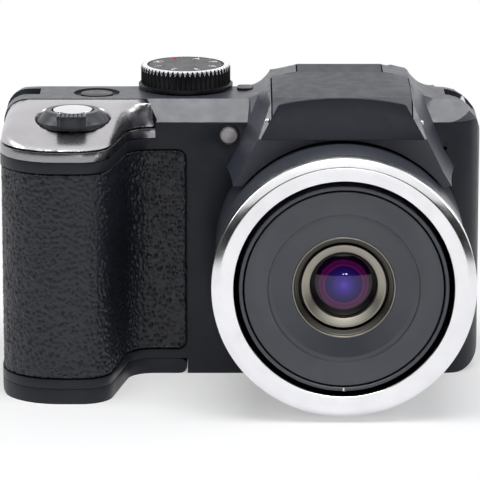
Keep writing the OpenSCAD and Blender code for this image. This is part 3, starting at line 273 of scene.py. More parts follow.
def cell_jacket():
    """Plain two-colour sleeve of a battery cell: dark body, copper end."""
    shader = Shader("cell_jacket")
    split = shader.add("ShaderNodeSeparateXYZ")
    shader.link(shader.place, split.inputs[0])
    height = shader.remap(split.outputs["Z"], 0, 1, CELL_FROM_MM * MM, CELL_TO_MM * MM)
    shader.colour(shader.ramp(height, CELL_COLOURS))
    shader.rough(shader.remap(shader.noise(size_mm=4), low=0.22, high=0.34))
    return shader.material


def light_paint(name, colour):
    """Printed mark with a slightly uneven ink."""
    shader = Shader(name)
    uneven(shader, colour, vary=0.04, rough=0.45, spread=0.05, cloud_mm=1)
    return shader.material


MATERIALS = {
    "cover_plastic": moulded("cover_plastic", srgb(33, 35, 42), 0.42, 0.3),
    "top_plastic": moulded("top_plastic", srgb(48, 51, 62), 0.38, 0.75),
    "silver_cap": metal("silver_cap", srgb(188, 186, 189), 0.28),
    "bright_trim": metal("bright_trim", srgb(150, 149, 152), 0.26),
    "grip_rubber": moulded("grip_rubber", srgb(27, 29, 37), 0.38, 0.5, grain_mm=0.5, grain_depth_mm=0.03),
    "inner_plastic": moulded("inner_plastic", srgb(18, 18, 20), 0.5, 0.2),
    "pin_steel": metal("pin_steel", srgb(214, 214, 216), 0.2),
    "screw_steel": metal("screw_steel", srgb(60, 60, 62), 0.36),
    "contact_metal": metal("contact_metal", srgb(206, 186, 130), 0.3),
    "cell_jacket": cell_jacket(),
    "socket_steel": metal("socket_steel", srgb(170, 171, 174), 0.32),
    "card_plastic": moulded("card_plastic", srgb(26, 30, 40), 0.45),
    "barrel_plastic": turned_finish("barrel_plastic", srgb(62, 65, 72)),
    "ring_metal": metal("ring_metal", srgb(238, 238, 241), 0.2),
    "retainer_metal": retainer_metal(),
    "coated_glass": coated_glass(),
    "circuit_board": moulded("circuit_board", srgb(34, 82, 52), 0.35),
    "plate_gloss": moulded("plate_gloss", srgb(26, 29, 37), 0.3, 0.05),
    "clear_window": moulded("clear_window", srgb(214, 218, 224), 0.1, 0.5),
    "reflector_metal": metal("reflector_metal", srgb(225, 226, 230), 0.12),
    "capacitor_case": moulded("capacitor_case", srgb(26, 28, 38), 0.35),
    "key_plastic": moulded("key_plastic", srgb(26, 27, 31), 0.34, 0.3),
    "dial_plastic": moulded("dial_plastic", srgb(14, 14, 17), 0.36, 0.3),
    "dial_plate": moulded("dial_plate", srgb(58, 58, 62), 0.4, 0.25),
    "button_chrome": metal("button_chrome", srgb(236, 236, 238), 0.14),
    "lever_plastic": moulded("lever_plastic", srgb(44, 47, 53), 0.3, 0.4),
    "lamp_lens": moulded("lamp_lens", srgb(176, 170, 171), 0.12, 0.5, coat=0.6),
    "bracket_metal": metal("bracket_metal", srgb(150, 152, 156), 0.35),
    "screen_panel": moulded("screen_panel", srgb(38, 42, 52), 0.3),
    "screen_glass": moulded("screen_glass", srgb(8, 9, 11), 0.05, 0.5),
    "port_rubber": moulded("port_rubber", srgb(27, 28, 33), 0.55, 0.25),
}
# Pieces whose finish differs a little from their slot's
NODE_FINISH = {"flash_cover": moulded("flash_cover_plastic", srgb(36, 38, 47), 0.38, 0.3)}
MARK_WHITE = light_paint("mark_white", srgb(236))
MARK_RED = light_paint("mark_red", srgb(196, 40, 48))
MARK_GREY = light_paint("mark_grey", srgb(178, 180, 186))

# Shading of every mesh

EDGE_ANGLE = math.radians(32)
EDGE_SEGMENTS = 2
WELD_MM = 0.002


def smoothing_tree():
    """Geometry nodes that shade faces smooth and keep edges sharper than EDGE_ANGLE."""
    tree = bpy.data.node_groups.new("smooth_by_angle", "GeometryNodeTree")
    tree.interface.new_socket("Geometry", in_out="INPUT", socket_type="NodeSocketGeometry")
    tree.interface.new_socket("Geometry", in_out="OUTPUT", socket_type="NodeSocketGeometry")
    start = tree.nodes.new("NodeGroupInput")
    end = tree.nodes.new("NodeGroupOutput")
    drop = tree.nodes.new("GeometryNodeRemoveAttribute")
    drop.inputs["Name"].default_value = "custom_normal"
    faces = tree.nodes.new("GeometryNodeSetShadeSmooth")
    edges = tree.nodes.new("GeometryNodeSetShadeSmooth")
    edges.domain = "EDGE"
    angle = tree.nodes.new("GeometryNodeInputMeshEdgeAngle")
    gentle = tree.nodes.new("FunctionNodeCompare")
    gentle.operation = "LESS_EQUAL"
    gentle.inputs["B"].default_value = EDGE_ANGLE
    tree.links.new(angle.outputs["Unsigned Angle"], gentle.inputs["A"])
    tree.links.new(gentle.outputs["Result"], edges.inputs["Shade Smooth"])
    chain = [start, drop, faces, edges, end]
    for a, b in zip(chain, chain[1:]):
        tree.links.new(a.outputs[0], b.inputs[0])
    return tree


SMOOTHING = smoothing_tree()


def smooth(piece, edge_mm=0.0):
    """Weld a solid's facets, round its edges and shade it smooth, all as modifiers."""
    weld = piece.modifiers.new("weld", "WELD")
    weld.merge_threshold = WELD_MM * MM
    if edge_mm:
        bevel = piece.modifiers.new("edges", "BEVEL")
        bevel.width = edge_mm * MM
        bevel.segments = EDGE_SEGMENTS
        bevel.limit_method = "ANGLE"
        bevel.angle_limit = EDGE_ANGLE
    shading = piece.modifiers.new("smooth", "NODES")
    shading.node_group = SMOOTHING


# New pieces

def add_piece(name, data, material, body):
    """Link a new piece, hang it on its body and name its finish."""
    piece = bpy.data.objects.new(name, data)
    bpy.context.scene.collection.objects.link(piece)
    data.materials.append(material)
    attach(piece, body)
    return piece


def stand_in(name, mesh, node):
    """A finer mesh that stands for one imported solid."""
    finish = NODE_FINISH.get(node, MATERIALS[SLOTS[node]])
    piece = add_piece(name, mesh, finish, BODIES[node])
    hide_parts(node)
    return piece


def on_node(name, mesh, material, node):
    """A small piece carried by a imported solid."""
    return add_piece(name, mesh, material, BODIES[node])


# Most of an outline's side that one rounded corner may take
EASE_SHARE = 0.45


def eased(points, radius_mm, steps=3):
    """A closed outline with its corners rounded."""
    out = []
    for i, p in enumerate(points):
        corner = Vector(p)
        before = Vector(points[i - 1]) - corner
        after = Vector(points[(i + 1) % len(points)]) - corner
        cut = min(radius_mm, EASE_SHARE * before.length, EASE_SHARE * after.length)
        start = corner + before.normalized() * cut
        end = corner + after.normalized() * cut
        for k in range(steps + 1):
            t = k / steps
            out.append(start * (1 - t) ** 2 + corner * 2 * t * (1 - t) + end * t ** 2)
    return out


def saved(mesh, name):
    """Turn a bmesh into mesh data and free it."""
    data = bpy.data.meshes.new(name)
    mesh.to_mesh(data)
    mesh.free()
    return data


TURN_STEPS = 144


def turned(name, outline, origin, axis, wave=None, steps=TURN_STEPS):
    """Mesh of a closed outline of (height, radius) in mm turned about an axis through origin.
    wave(height, radius, angle) may give a changed radius, for ribs."""
    turn = axis.to_track_quat("Z", "Y").to_matrix()
    mesh = bmesh.new()
    rings = []
    for height, radius in outline:
        if radius <= 0:
            rings.append([mesh.verts.new(origin + turn @ Vector((0, 0, height)) * MM)])
            continue
        ring = []
        for k in range(steps):
            a = 2 * math.pi * k / steps
            r = wave(height, radius, a) if wave else radius
            spoke = Vector((r * math.cos(a), r * math.sin(a), height))
            ring.append(mesh.verts.new(origin + turn @ spoke * MM))
        rings.append(ring)
    for i, ring in enumerate(rings):
        other = rings[(i + 1) % len(rings)]
        if len(ring) == 1 and len(other) == 1:
            continue
        for k in range(steps):
            m = (k + 1) % steps
            near = [ring[k % len(ring)], ring[m % len(ring)]]
            far = [other[m % len(other)], other[k % len(other)]]
            mesh.faces.new(dict.fromkeys(near + far))
    bmesh.ops.recalc_face_normals(mesh, faces=mesh.faces)
    return saved(mesh, name)


def arc(radius, rise, top, steps=10):
    """Outline points of a dome from its rim to its middle."""
    bend = (radius ** 2 + rise ** 2) / (2 * rise)
    reach = [radius * (1 - k / steps) for k in range(steps + 1)]
    return [(top - bend + math.sqrt(bend ** 2 - r ** 2), r) for r in reach]


def prism(name, outline, origin, across, up, thickness_mm):
    """Mesh of a flat outline in mm, raised from origin along across x up."""
    out = across.cross(up).normalized()
    mesh = bmesh.new()
    flat = [origin + (across * x + up * y) * MM for x, y in outline]
    low = [mesh.verts.new(p) for p in flat]
    high = [mesh.verts.new(p + out * thickness_mm * MM) for p in flat]
    mesh.faces.new(low[::-1])
    mesh.faces.new(high)
    for k in range(len(flat)):
        m = (k + 1) % len(flat)
        mesh.faces.new((low[k], low[m], high[m], high[k]))
    return saved(mesh, name)


def box_outline(width, height, rise=0.0):
    """Corners of a rectangle whose middle lies at that rise."""
    x, y = width / 2, height / 2
    return [(-x, rise - y), (x, rise - y), (x, rise + y), (-x, rise + y)]


def disc_outline(radius, steps=32):
    turns = [2 * math.pi * k / steps for k in range(steps)]
    return [(radius * math.cos(a), radius * math.sin(a)) for a in turns]


# Lofted covers

RELAX_EDGE_MM = 0.9
RELAX_SPLITS = 6
RELAX_PASSES = 40
RELAX_STEP = 0.5
ALL_AXES = {"use_axis_x": True, "use_axis_y": True, "use_axis_z": True}


def welded(node):
    """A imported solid's mesh with its facets joined at their corners."""
    mesh = bmesh.new()
    mesh.from_mesh(nodes[node].data)
    bmesh.ops.remove_doubles(mesh, verts=mesh.verts, dist=WELD_MM * MM)
    return mesh


def relax(mesh, verts, passes):
    """Move vertices towards the middle of their neighbours."""
    for _ in range(passes):
        bmesh.ops.smooth_vert(mesh, verts=verts, factor=RELAX_STEP, **ALL_AXES)


def is_sharp(edge, limit):
    return edge.calc_face_angle(math.pi) > limit


def relaxed(node):
    """A lofted solid with its facets relaxed into one curve; its sharp edges stay where they are."""
    mesh = welded(node)
    for _ in range(RELAX_SPLITS):
        longest = [e for e in mesh.edges if e.calc_length() > RELAX_EDGE_MM * MM]
        if not longest:
            break
        bmesh.ops.subdivide_edges(mesh, edges=longest, cuts=1)
        bmesh.ops.triangulate(mesh, faces=[f for f in mesh.faces if len(f.verts) > 3])
    free = [v for v in mesh.verts if not any(is_sharp(e, EDGE_ANGLE) for e in v.link_edges)]
    relax(mesh, free, RELAX_PASSES)
    smooth(stand_in(node + "_fine", saved(mesh, node + "_fine"), node))


CAP_VOXEL_MM = 0.35
CAP_CREASE = math.radians(62)
CAP_PIN_MM = 0.5
CAP_EVEN_PASSES = 14
CAP_PASSES = 90
# How far the dome's front falls below the solid's flat top
CAP_FALL_MM = 2.2


def cap_rim():
    """Points along the cap's sharp edges, close together, in a search tree."""
    mesh = welded("grip_cap")
    points = []
    for edge in mesh.edges:
        if is_sharp(edge, CAP_CREASE):
            a, b = (v.co.copy() for v in edge.verts)
            count = max(1, math.ceil((b - a).length / (CAP_VOXEL_MM * MM)))
            points += [a.lerp(b, k / count) for k in range(count + 1)]
    mesh.free()
    tree = KDTree(len(points))
    for k, point in enumerate(points):
        tree.insert(point, k)
    tree.balance()
    return tree


def cap_skin():
    """Silver cap as one even skin, relaxed into a smooth dome between its edges."""
    shaper = bpy.data.objects.new("cap_shaper", nodes["grip_cap"].data.copy())
    bpy.context.scene.collection.objects.link(shaper)
    dense = shaper.modifiers.new("dense", "REMESH")
    dense.mode = "VOXEL"
    dense.voxel_size = CAP_VOXEL_MM * MM
    graph = bpy.context.evaluated_depsgraph_get()
    mesh = bmesh.new()
    mesh.from_mesh(shaper.evaluated_get(graph).to_mesh())
    bpy.data.objects.remove(shaper)
    rim = cap_rim()
    free = [v for v in mesh.verts if rim.find(v.co)[2] > CAP_PIN_MM * MM]
    low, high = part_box("grip_cap")
    start = centre("shutter_button").y
    for vert in mesh.verts:
        ahead = min(1, max(0, (start - vert.co.y) / (start - low.y)))
        share = (vert.co.z - low.z) / (high.z - low.z)
        vert.co.z -= CAP_FALL_MM * MM * share * ahead ** 2 * (3 - 2 * ahead)
    relax(mesh, mesh.verts, CAP_EVEN_PASSES)
    relax(mesh, free, CAP_PASSES)
    smooth(stand_in("grip_cap_fine", saved(mesh, "grip_cap_fine"), "grip_cap"))


# Lens: outlines of (depth behind the ring's front face, radius) in mm

RING = [(5.4, 23.9), (0, 23.9), (0, 27.05), (1.1, 28.7), (5.4, 28.7)]
SHROUD = [(47, 24.5), (5.5, 24.5), (5.5, 28), (40.9, 28), (40.9, 26.4), (47, 26.4)]
REAR_BARREL = [(36, 21.9), (0.4, 21.9), (0.4, 22.7), (36, 22.7)]
BARREL_BACK = [(8, 11.3), (8, 20), (33, 20), (33, 21.8), (30, 21.8), (30, 21.5)]
BARREL_FACE = [(0.7, 21.5), (0.7, 16.5), (1.1, 16.4)]
RETAINER = [
    (6, 11.2), (2, 11.2), (2, 10.9), (2.6, 10.7), (3.1, 9.75), (4.9, 9.7), (4.9, 9.25),
    (3.3, 9.2), (3.3, 8.9), (4.2, 7.35), (6, 7.3),
]
CONE_RINGS = 12
CONE_START = (1.15, 15.4)
CONE_END = (2.1, 11.3)
CONE_STEP_MM = 0.03
GLASS_RIM_R, GLASS_RIM_DEPTH, GLASS_RISE, GLASS_EDGE, GLASS_STEPS = 8.6, 6.7, 2.2, 1.6, 24
TICK_W, TICK_H, TICK_THICK, TICK_DEPTH, TICK_R = 0.35, 0.7, 0.06, 0.35, 22.3


def cone_rings():
    """The front barrel's inner cone, with fine turned rings."""
    out = [CONE_START]
    for k in range(1, 2 * CONE_RINGS):
        t = k / (2 * CONE_RINGS)
        depth = CONE_START[0] + t * (CONE_END[0] - CONE_START[0])
        radius = CONE_START[1] + t * (CONE_END[1] - CONE_START[1])
        out.append((depth + CONE_STEP_MM * (k % 2), radius))
    return out + [CONE_END]


def lens_piece(node, outline):
    """A turned lens piece; depth runs back from the ring's front face."""
    smooth(stand_in(node + "_fine", turned(node + "_fine", outline, LENS_FRONT, BACKWARD), node))


def lens():
    lens_piece("lens_ring", eased(RING, radius_mm=0.22))
    lens_piece("lens_shroud", eased(SHROUD, radius_mm=0.2))
    lens_piece("rear_barrel", eased(REAR_BARREL, radius_mm=0.25))
    lens_piece("front_barrel", eased(BARREL_BACK + BARREL_FACE, radius_mm=0.12) + cone_rings())
    lens_piece("retaining_ring", eased(RETAINER, radius_mm=0.16))
    dome = [(GLASS_RIM_DEPTH - h, r) for h, r in arc(GLASS_RIM_R, GLASS_RISE, GLASS_RISE, GLASS_STEPS)]
    back = GLASS_RIM_DEPTH + GLASS_EDGE
    lens_piece("front_lens", [(back, 0), (back, GLASS_RIM_R)] + dome)
    place = LENS_FRONT + Vector((0, TICK_DEPTH, -TICK_R)) * MM
    tick = prism("index_tick", box_outline(TICK_W, TICK_H), place, RIGHT, UP, TICK_THICK)
    on_node("index_tick", tick, MARK_WHITE, "rear_barrel")


# Top controls, in mm

DIAL_RIBS = 56
RIB_STEPS = 8
RIB_DEPTH = 0.3
RIB_REACH = 0.5
RIB_POWER = 0.6
DIAL_R, DIAL_FLANGE_R, DIAL_FLANGE_H = 10.15, 10.7, 0.8
DIAL_FLANGE_EDGE = 0.7 * DIAL_FLANGE_H
# Rounding of the dial's rim: depth below its top, distance inside its radius
DIAL_RIM = [(0.5, 0), (0.12, 0.2), (0, 0.55)]
DIAL_WELL_R, DIAL_WELL_TAPER, DIAL_WELL_DEPTH = 8.6, 0.1, 0.35
DIAL_PLATE = [(0, 0), (0, 8.45), (0.3, 8.45), (0.4, 8.3), (0.42, 0)]
INK_MM = 0.03
MARK_R = 6.6
MARK_SIZE = 2.7
DIAL_MARKS = ["P", "A", "S", "M", "1", "2", "3", "4"]
RED_MARK = 2


def foot_of(node):
    """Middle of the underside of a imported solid."""
    return Vector((centre(node).x, centre(node).y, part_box(node)[0].z))


def dial_ribs(height, radius, angle):
    """Radius of the dial's side with its ribs."""
    if radius < DIAL_R - RIB_REACH or height < DIAL_FLANGE_H:
        return radius
    return radius - RIB_DEPTH * (0.5 - 0.5 * math.cos(DIAL_RIBS * angle)) ** RIB_POWER


def dial():
    """Ribbed mode dial with a white saw-tooth crown and generic marks."""
    low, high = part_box("mode_dial")
    base = foot_of("mode_dial")
    tall = (high.z - low.z) / MM
    side = [(0, 0), (0, DIAL_FLANGE_R), (DIAL_FLANGE_EDGE, DIAL_FLANGE_R), (DIAL_FLANGE_H, DIAL_R)]
    rim = [(tall - depth, DIAL_R - inside) for depth, inside in DIAL_RIM]
    floor = tall - DIAL_WELL_DEPTH
    well = [(tall, DIAL_WELL_R), (floor, DIAL_WELL_R - DIAL_WELL_TAPER), (floor, 0)]
    body = turned("mode_dial_fine", side + rim + well, base, UP, dial_ribs, DIAL_RIBS * RIB_STEPS)
    smooth(stand_in("mode_dial_fine", body, "mode_dial"))

    plate_low, plate_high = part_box("mode_dial_plate")
    plate_base = Vector((base.x, base.y, plate_low.z))
    plate = turned("mode_dial_plate_fine", DIAL_PLATE, plate_base, UP)
    smooth(stand_in("mode_dial_plate_fine", plate, "mode_dial_plate"))
    crown(base, tall)
    for k, word in enumerate(DIAL_MARKS):
        angle = 2 * math.pi * (k + 0.5) / len(DIAL_MARKS)
        place = base + Vector((math.cos(angle), math.sin(angle), 0)) * MARK_R * MM
        place.z = plate_high.z + INK_MM * MM
        turn = Matrix.Rotation(angle - math.pi / 2, 4, "Z")
        ink = MARK_RED if k == RED_MARK else MARK_WHITE
        lettering("dial_mark_%d" % k, word, place, turn, MARK_SIZE, ink, "mode_dial_plate")


# One tooth of the crown: share of a rib's turn, distance inside the dial's radius, depth below its top
CROWN = [
    (-0.5, 1.4, 0), (0.5, 1.4, 0), (0.5, 0.58, 0), (0.32, 0.2, 0.12),
    (0, -0.01, 1.15), (-0.32, 0.2, 0.12), (-0.5, 0.58, 0),
]
CROWN_FACES = [(0, 1, 2, 6), (6, 2, 3, 5), (5, 3, 4)]
CROWN_SKIN = 0.05


def crown(base, tall):
    """White saw teeth round the dial's top edge."""
    mesh = bmesh.new()
    for k in range(DIAL_RIBS):
        corners = []
        for share, inside, depth in CROWN:
            a = 2 * math.pi * (k + share) / DIAL_RIBS
            r = DIAL_R - inside + INK_MM
            spoke = Vector((r * math.cos(a), r * math.sin(a), tall - depth + INK_MM))
            corners.append(mesh.verts.new(base + spoke * MM))
        for face in CROWN_FACES:
            mesh.faces.new([corners[c] for c in face])
    bmesh.ops.remove_doubles(mesh, verts=mesh.verts, dist=WELD_MM * MM)
    bmesh.ops.recalc_face_normals(mesh, faces=mesh.faces)
    piece = on_node("dial_crown", saved(mesh, "dial_crown"), MARK_WHITE, "mode_dial")
    skin = piece.modifiers.new("thickness", "SOLIDIFY")
    skin.thickness = CROWN_SKIN * MM
    skin.offset = -1


def lettering(name, word, place, turn, size_mm, ink, node):
    """A plain printed sign, as a raised mesh."""
    text = bpy.data.curves.new(name, "FONT")
    text.body = word
    text.size = size_mm * MM
    text.extrude = INK_MM * MM
    text.align_x = "CENTER"
    text.align_y = "CENTER"
    piece = add_piece(name, text, ink, BODIES[node])
    piece.matrix_world = Matrix.Translation(place) @ turn


SHUTTER_STEM_R = 1.9
SHUTTER_HEAD_H = 2.4
# Rounding of the button's rim: depth below its top, distance inside its radius
SHUTTER_RIM = [(0.95, 0), (0.6, 0.15)]
SHUTTER_DOME_IN, SHUTTER_DOME_RISE, SHUTTER_DOME_STEPS = 0.5, 0.45, 12


def shutter():
    """Polished shutter button with a shallow dome and a rounded rim."""
    low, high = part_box("shutter_button")
    radius = (high.x - low.x) / 2 / MM
    tall = (high.z - low.z) / MM
    neck = tall - SHUTTER_HEAD_H
    stem = [(0, 0), (0, SHUTTER_STEM_R), (neck, SHUTTER_STEM_R), (neck, radius)]
    rim = [(tall - depth, radius - inside) for depth, inside in SHUTTER_RIM]
    dome = arc(radius - SHUTTER_DOME_IN, SHUTTER_DOME_RISE, tall, SHUTTER_DOME_STEPS)
    button = turned("shutter_button_fine", stem + rim + dome, foot_of("shutter_button"), UP)
    smooth(stand_in("shutter_button_fine", button, "shutter_button"))


LEVER_RIBS = 6
LEVER_RIB_PITCH = 0.95
LEVER_RIB_HALF, LEVER_RIB_R = 1.6, 0.3
LEVER_RIB_IN, LEVER_RIB_DROP = 0.28, 2.9
LEVER_RIB_STEPS = 12
LEVER_RIB_SIDES = 16


def lever_ribs():
    """Raised ribs on the front of the zoom lever's tab."""
    low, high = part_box("zoom_lever")
    middle = centre("shutter_button").x
    turns = [math.pi * i / LEVER_RIB_STEPS for i in range(LEVER_RIB_STEPS + 1)]
    outline = [(LEVER_RIB_HALF - LEVER_RIB_HALF * math.cos(a), LEVER_RIB_R * math.sin(a)) for a in turns]
    for k in range(LEVER_RIBS):
        x = middle + (k - (LEVER_RIBS - 1) / 2) * LEVER_RIB_PITCH * MM
        foot = Vector((x, low.y + LEVER_RIB_IN * MM, high.z - LEVER_RIB_DROP * MM))
        rib = turned("lever_rib", outline, foot, UP, steps=LEVER_RIB_SIDES)
        smooth(on_node("lever_rib_%d" % k, rib, MATERIALS["lever_plastic"], "zoom_lever"))


# Front details, in mm

LAMP_R = 1.95
LAMP_DOME, LAMP_PROUD = 0.5, 0.25
LAMP_PETALS, LAMP_PETAL_DEPTH, LAMP_PETAL_FROM = 3, 0.05, 0.5
LAMP_GAP = 0.02
LAMP_RIM_R, LAMP_RIM_PROUD, LAMP_RIM_EDGE = 2.35, 0.12, 0.1


def lamp_petals(_height, radius, angle):
    """Radius of the lamp's faintly lobed dome."""
    if not LAMP_PETAL_FROM < radius < LAMP_R:
        return radius
    return radius * (1 - LAMP_PETAL_DEPTH * math.cos(LAMP_PETALS * angle + math.pi / 2))


def focus_lamp():
    """Pale lamp dome in a dark rim."""
    low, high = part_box("af_lamp")
    base = Vector((centre("af_lamp").x, high.y, centre("af_lamp").z))
    deep = (high.y - low.y) / MM
    dome = [(0, 0), (0, LAMP_R)] + arc(LAMP_R, LAMP_DOME, deep + LAMP_PROUD)
    lamp = turned("af_lamp_fine", dome, base, FORWARD, lamp_petals)
    smooth(stand_in("af_lamp_fine", lamp, "af_lamp"))
    hole = LAMP_R + LAMP_GAP
    front = deep + LAMP_RIM_PROUD
    outline = eased([(0, hole), (front, hole), (front, LAMP_RIM_R), (0, LAMP_RIM_R)], LAMP_RIM_EDGE)
    rim = turned("lamp_rim", outline, base, FORWARD)
    smooth(on_node("lamp_rim", rim, MATERIALS["dial_plastic"], "front_cover"))


GRAIN_VOXEL_MM = 0.27
GRAIN_EVEN_PASSES = 4
GRAIN_LEVEL = 0.45
# Layers of the leather grain: name, size of its cells and depth in mm
GRAIN_LAYERS = [("creases", 1.2, 1.35), ("pores", 0.65, 0.6)]


def grip_skin():
    """Rubber skin with a real leather grain: cells with creases between them."""
    piece = stand_in("grip_rubber_fine", nodes["grip_rubber"].data.copy(), "grip_rubber")
    dense = piece.modifiers.new("dense", "REMESH")
    dense.mode = "VOXEL"
    dense.voxel_size = GRAIN_VOXEL_MM * MM
    dense.use_smooth_shade = True
    even = piece.modifiers.new("even", "SMOOTH")
    even.iterations = GRAIN_EVEN_PASSES
    for name, size_mm, depth_mm in GRAIN_LAYERS:
        grain = bpy.data.textures.new(name, "VORONOI")
        grain.noise_scale = size_mm * MM
        grain.weight_1 = -1
        grain.weight_2 = 1
        layer = piece.modifiers.new(name, "DISPLACE")
        layer.texture = grain
        layer.texture_coords = "LOCAL"
        layer.strength = depth_mm * MM
        layer.mid_level = GRAIN_LEVEL


# Places in the photograph of small studs on the hump's cheeks, in its 480 pixel frame
STUD_PIXELS = [(267.6, 120.5), (422.0, 122.5)]
STUD_R, STUD_RISE, STUD_ROOT = 0.62, 0.4, 0.6
STUD_SIDES = 32


def seen_at(camera, px, py):
    """Point and normal of what the photograph's view shows at a pixel."""
    half = VIEW_SENSOR_MM / 2 / VIEW_LENS_MM
    middle = VIEW_PIXELS / 2
    ray = Vector(((px - middle) / middle * half, (middle - py) / middle * half, -1))
    graph = bpy.context.evaluated_depsgraph_get()
    direction = (camera.matrix_world.to_quaternion() @ ray).normalized()
    _, place, normal, *_ = bpy.context.scene.ray_cast(graph, camera.matrix_world.translation, direction)
    return place, normal


def studs(camera):
    bpy.context.view_layer.update()
    dome = [(-STUD_ROOT, 0), (-STUD_ROOT, STUD_R)] + arc(STUD_R, STUD_RISE, STUD_RISE, 8)
    for k, (px, py) in enumerate(STUD_PIXELS):
        place, normal = seen_at(camera, px, py)
        stud = turned("stud", dome, place, normal, steps=STUD_SIDES)
        smooth(on_node("stud_%d" % k, stud, MATERIALS["pin_steel"], "top_cover"))


# Signs on the rear keys, as outlines in mm

KEY_SIGNS = {
    "play_key": [[(-0.9, -1.1), (1.1, 0), (-0.9, 1.1)]],
    "menu_key": [box_outline(2.4, 0.36, rise) for rise in (-0.8, 0, 0.8)],
    "delete_key": [[(-0.8, -1.1), (0.8, -1.1), (1, 0.6), (-1, 0.6)], box_outline(2.6, 0.36, 1)],
    "video_key": [disc_outline(1.1)],
}
SIGN_SUNK, SIGN_THICK = 0.02, 0.05


def key_signs():
    for node, outlines in KEY_SIGNS.items():
        place = Vector((centre(node).x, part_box(node)[1].y - SIGN_SUNK * MM, centre(node).z))
        ink = MARK_RED if node == "video_key" else MARK_GREY
        for k, outline in enumerate(outlines):
            name = "%s_sign_%d" % (node, k)
            on_node(name, prism(name, outline, place, LEFT, UP, SIGN_THICK), ink, node)


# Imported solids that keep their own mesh: edge rounding in mm
EDGE_MM = {
    "front_cover": 0.25, "rear_cover": 0.25, "battery_door": 0.25, "grip_trim": 0.2, "flash_nameplate": 0.25,
}
EDGE_PLAIN_MM = 0.12


def dress():
    """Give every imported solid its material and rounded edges."""
    for name, piece in nodes.items():
        for holder in piece.material_slots:
            holder.material = MATERIALS[SLOTS[name]]
        smooth(piece, EDGE_MM.get(name, EDGE_PLAIN_MM))


# Stage, light and camera

def look_at(place, target):
    return (target - place).to_track_quat("-Z", "Y").to_euler()


def area_light(name, place, target, width, height, watts):
    data = bpy.data.lights.new(name, "AREA")
    data.shape = "RECTANGLE"
    data.size = width
    data.size_y = height
    data.energy = watts
    lamp = bpy.data.objects.new(name, data)
    lamp.location = place
    lamp.rotation_euler = look_at(Vector(place), Vector(target))
    bpy.context.scene.collection.objects.link(lamp)


def background_rays(tree):
    """1 for rays that should see the white background: from the camera, metal or glass."""
    path = tree.nodes.new("ShaderNodeLightPath")
    total = path.outputs["Is Camera Ray"]
    for name in ("Is Glossy Ray", "Is Transmission Ray"):
        either = tree.nodes.new("ShaderNodeMath")
        either.operation = "MAXIMUM"
        tree.links.new(total, either.inputs[0])
        tree.links.new(path.outputs[name], either.inputs[1])
        total = either.outputs[0]
    return total


WORLD_FILL = 0.3
WORLD_FILL_COLOUR = srgb(245, 247, 255)


def white_world():
    """White where the camera, metal and glass look; a plain fill for everything else."""
    world = bpy.data.worlds.new("studio")
    bpy.context.scene.world = world
    world.use_nodes = True
    tree = world.node_tree
    fill = tree.nodes["Background"]
    fill.inputs["Color"].default_value = WORLD_FILL_COLOUR
    fill.inputs["Strength"].default_value = WORLD_FILL
    white = tree.nodes.new("ShaderNodeBackground")
    white.inputs["Color"].default_value = (1, 1, 1, 1)
    mix = tree.nodes.new("ShaderNodeMixShader")
    tree.links.new(background_rays(tree), mix.inputs[0])
    tree.links.new(fill.outputs[0], mix.inputs[1])
    tree.links.new(white.outputs[0], mix.inputs[2])
    tree.links.new(mix.outputs[0], tree.nodes["World Output"].inputs[0])


def stage_piece(name, vertices, faces, material):
    mesh = bpy.data.meshes.new(name)
    mesh.from_pydata(vertices, [], faces)
    mesh.materials.append(material)
    piece = bpy.data.objects.new(name, mesh)
    bpy.context.scene.collection.objects.link(piece)
    return piece


FLOOR_HALF = 3.0
FLOOR_COLOUR = srgb(247)
# Share of plain white in the floor's look, near the object and far from it; the smaller share near the
# object paints shade round it
FLOOR_GLOW_NEAR, FLOOR_GLOW_FAR = 0.4, 1.0
FLOOR_NEAR, FLOOR_FAR = 0.065, 0.26


def studio_floor():
    shader = Shader("floor_paper")
    shader.set(Base_Color=FLOOR_COLOUR, Roughness=0.9, Specular_IOR_Level=0.0)
    tree = shader.tree
    glow = tree.nodes.new("ShaderNodeEmission")
    mix = tree.nodes.new("ShaderNodeMixShader")
    away = shader.add("ShaderNodeVectorMath", operation="LENGTH")
    shader.link(shader.place, away.inputs[0])
    # The glow fades towards the object: painted shade round its foot, deepening its real shadow
    glow_share_painted_shade = shader.remap(away.outputs["Value"], FLOOR_GLOW_NEAR, FLOOR_GLOW_FAR, FLOOR_NEAR, FLOOR_FAR)
    share = shader.math("MULTIPLY", background_rays(tree), glow_share_painted_shade)
    tree.links.new(share, mix.inputs[0])
    tree.links.new(shader.surface.outputs[0], mix.inputs[1])
    tree.links.new(glow.outputs[0], mix.inputs[2])
    tree.links.new(mix.outputs[0], tree.nodes["Material Output"].inputs[0])
    h = FLOOR_HALF
    stage_piece("floor", [(-h, -h, 0), (h, -h, 0), (h, h, 0), (-h, h, 0)], [(0, 1, 2, 3)], shader.material)


CURTAIN_R = 1.3
CURTAIN_RISE = math.radians(27)
CURTAIN_HALF_TURN = math.radians(100)
CURTAIN_STEPS = 24
CURTAIN_COLOUR = srgb(12)


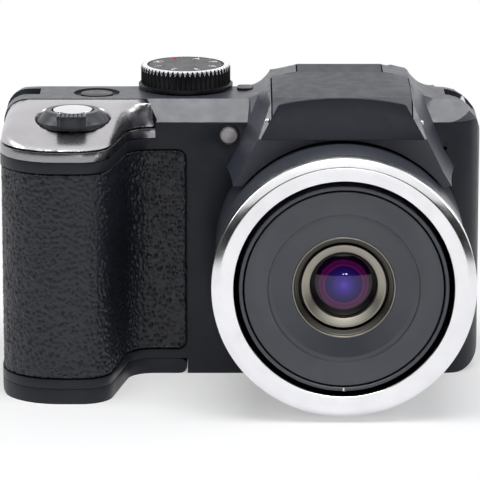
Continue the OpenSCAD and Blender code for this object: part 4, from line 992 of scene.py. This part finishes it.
def dark_curtain():
    """Black cloth round the front and sides of the set, seen only in reflections."""
    shader = Shader("curtain_cloth")
    shader.set(Base_Color=CURTAIN_COLOUR, Roughness=1.0, Specular_IOR_Level=0.0)
    top = CURTAIN_R * math.tan(CURTAIN_RISE)
    turns = [CURTAIN_HALF_TURN * (2 * k / CURTAIN_STEPS - 1) for k in range(CURTAIN_STEPS + 1)]
    corners = [(CURTAIN_R * math.sin(a), -CURTAIN_R * math.cos(a), z) for a in turns for z in (0, top)]
    faces = [(2 * k, 2 * k + 2, 2 * k + 3, 2 * k + 1) for k in range(CURTAIN_STEPS)]
    cloth = stage_piece("curtain", corners, faces, shader.material)
    cloth.visible_camera = False
    cloth.visible_diffuse = False
    cloth.visible_shadow = False


def photo_camera():
    data = bpy.data.cameras.new("photo_view")
    data.lens = VIEW_LENS_MM
    data.sensor_width = VIEW_SENSOR_MM
    data.sensor_fit = "HORIZONTAL"
    camera = bpy.data.objects.new("photo_view", data)
    camera.location = VIEW_TARGET + VIEW_DISTANCE * Vector((0, -math.cos(VIEW_RISE), math.sin(VIEW_RISE)))
    camera.rotation_euler = look_at(camera.location, VIEW_TARGET)
    bpy.context.scene.collection.objects.link(camera)
    bpy.context.scene.camera = camera
    return camera


# Lamps: place, width, height and watts
SOFTBOXES = {
    "top_softbox": ((0, -0.24, 1.05), 0.8, 0.45, 7.5),
    "left_softbox": ((-0.95, 0.05, 0.7), 0.35, 0.6, 3),
    "right_softbox": ((0.95, 0.05, 0.7), 0.35, 0.6, 3),
}
SOFTBOX_TARGET = (0, 0, 0.03)
GLINT_X = (0.04, 0.1)
GLINT_Y, GLINT_Z, GLINT_SIZE, GLINT_WATTS = -0.9, 0.05, 0.02, 0.08


def studio_lamps():
    """Soft light from above and both sides, and two small glints in the glass."""
    for name, (place, width, height, watts) in SOFTBOXES.items():
        area_light(name, place, SOFTBOX_TARGET, width, height, watts)
    for x in GLINT_X:
        name = "glint_%d" % round(x * 100)
        area_light(name, (x, GLINT_Y, GLINT_Z), LENS_FRONT, GLINT_SIZE, GLINT_SIZE, GLINT_WATTS)


bpy.context.scene.view_settings.view_transform = "Standard"
dress()
photo_view = photo_camera()
studs(photo_view)
lens()
dial()
shutter()
lever_ribs()
focus_lamp()
grip_skin()
cap_skin()
relaxed("top_cover")
relaxed("flash_cover")
key_signs()
white_world()
studio_floor()
dark_curtain()
studio_lamps()
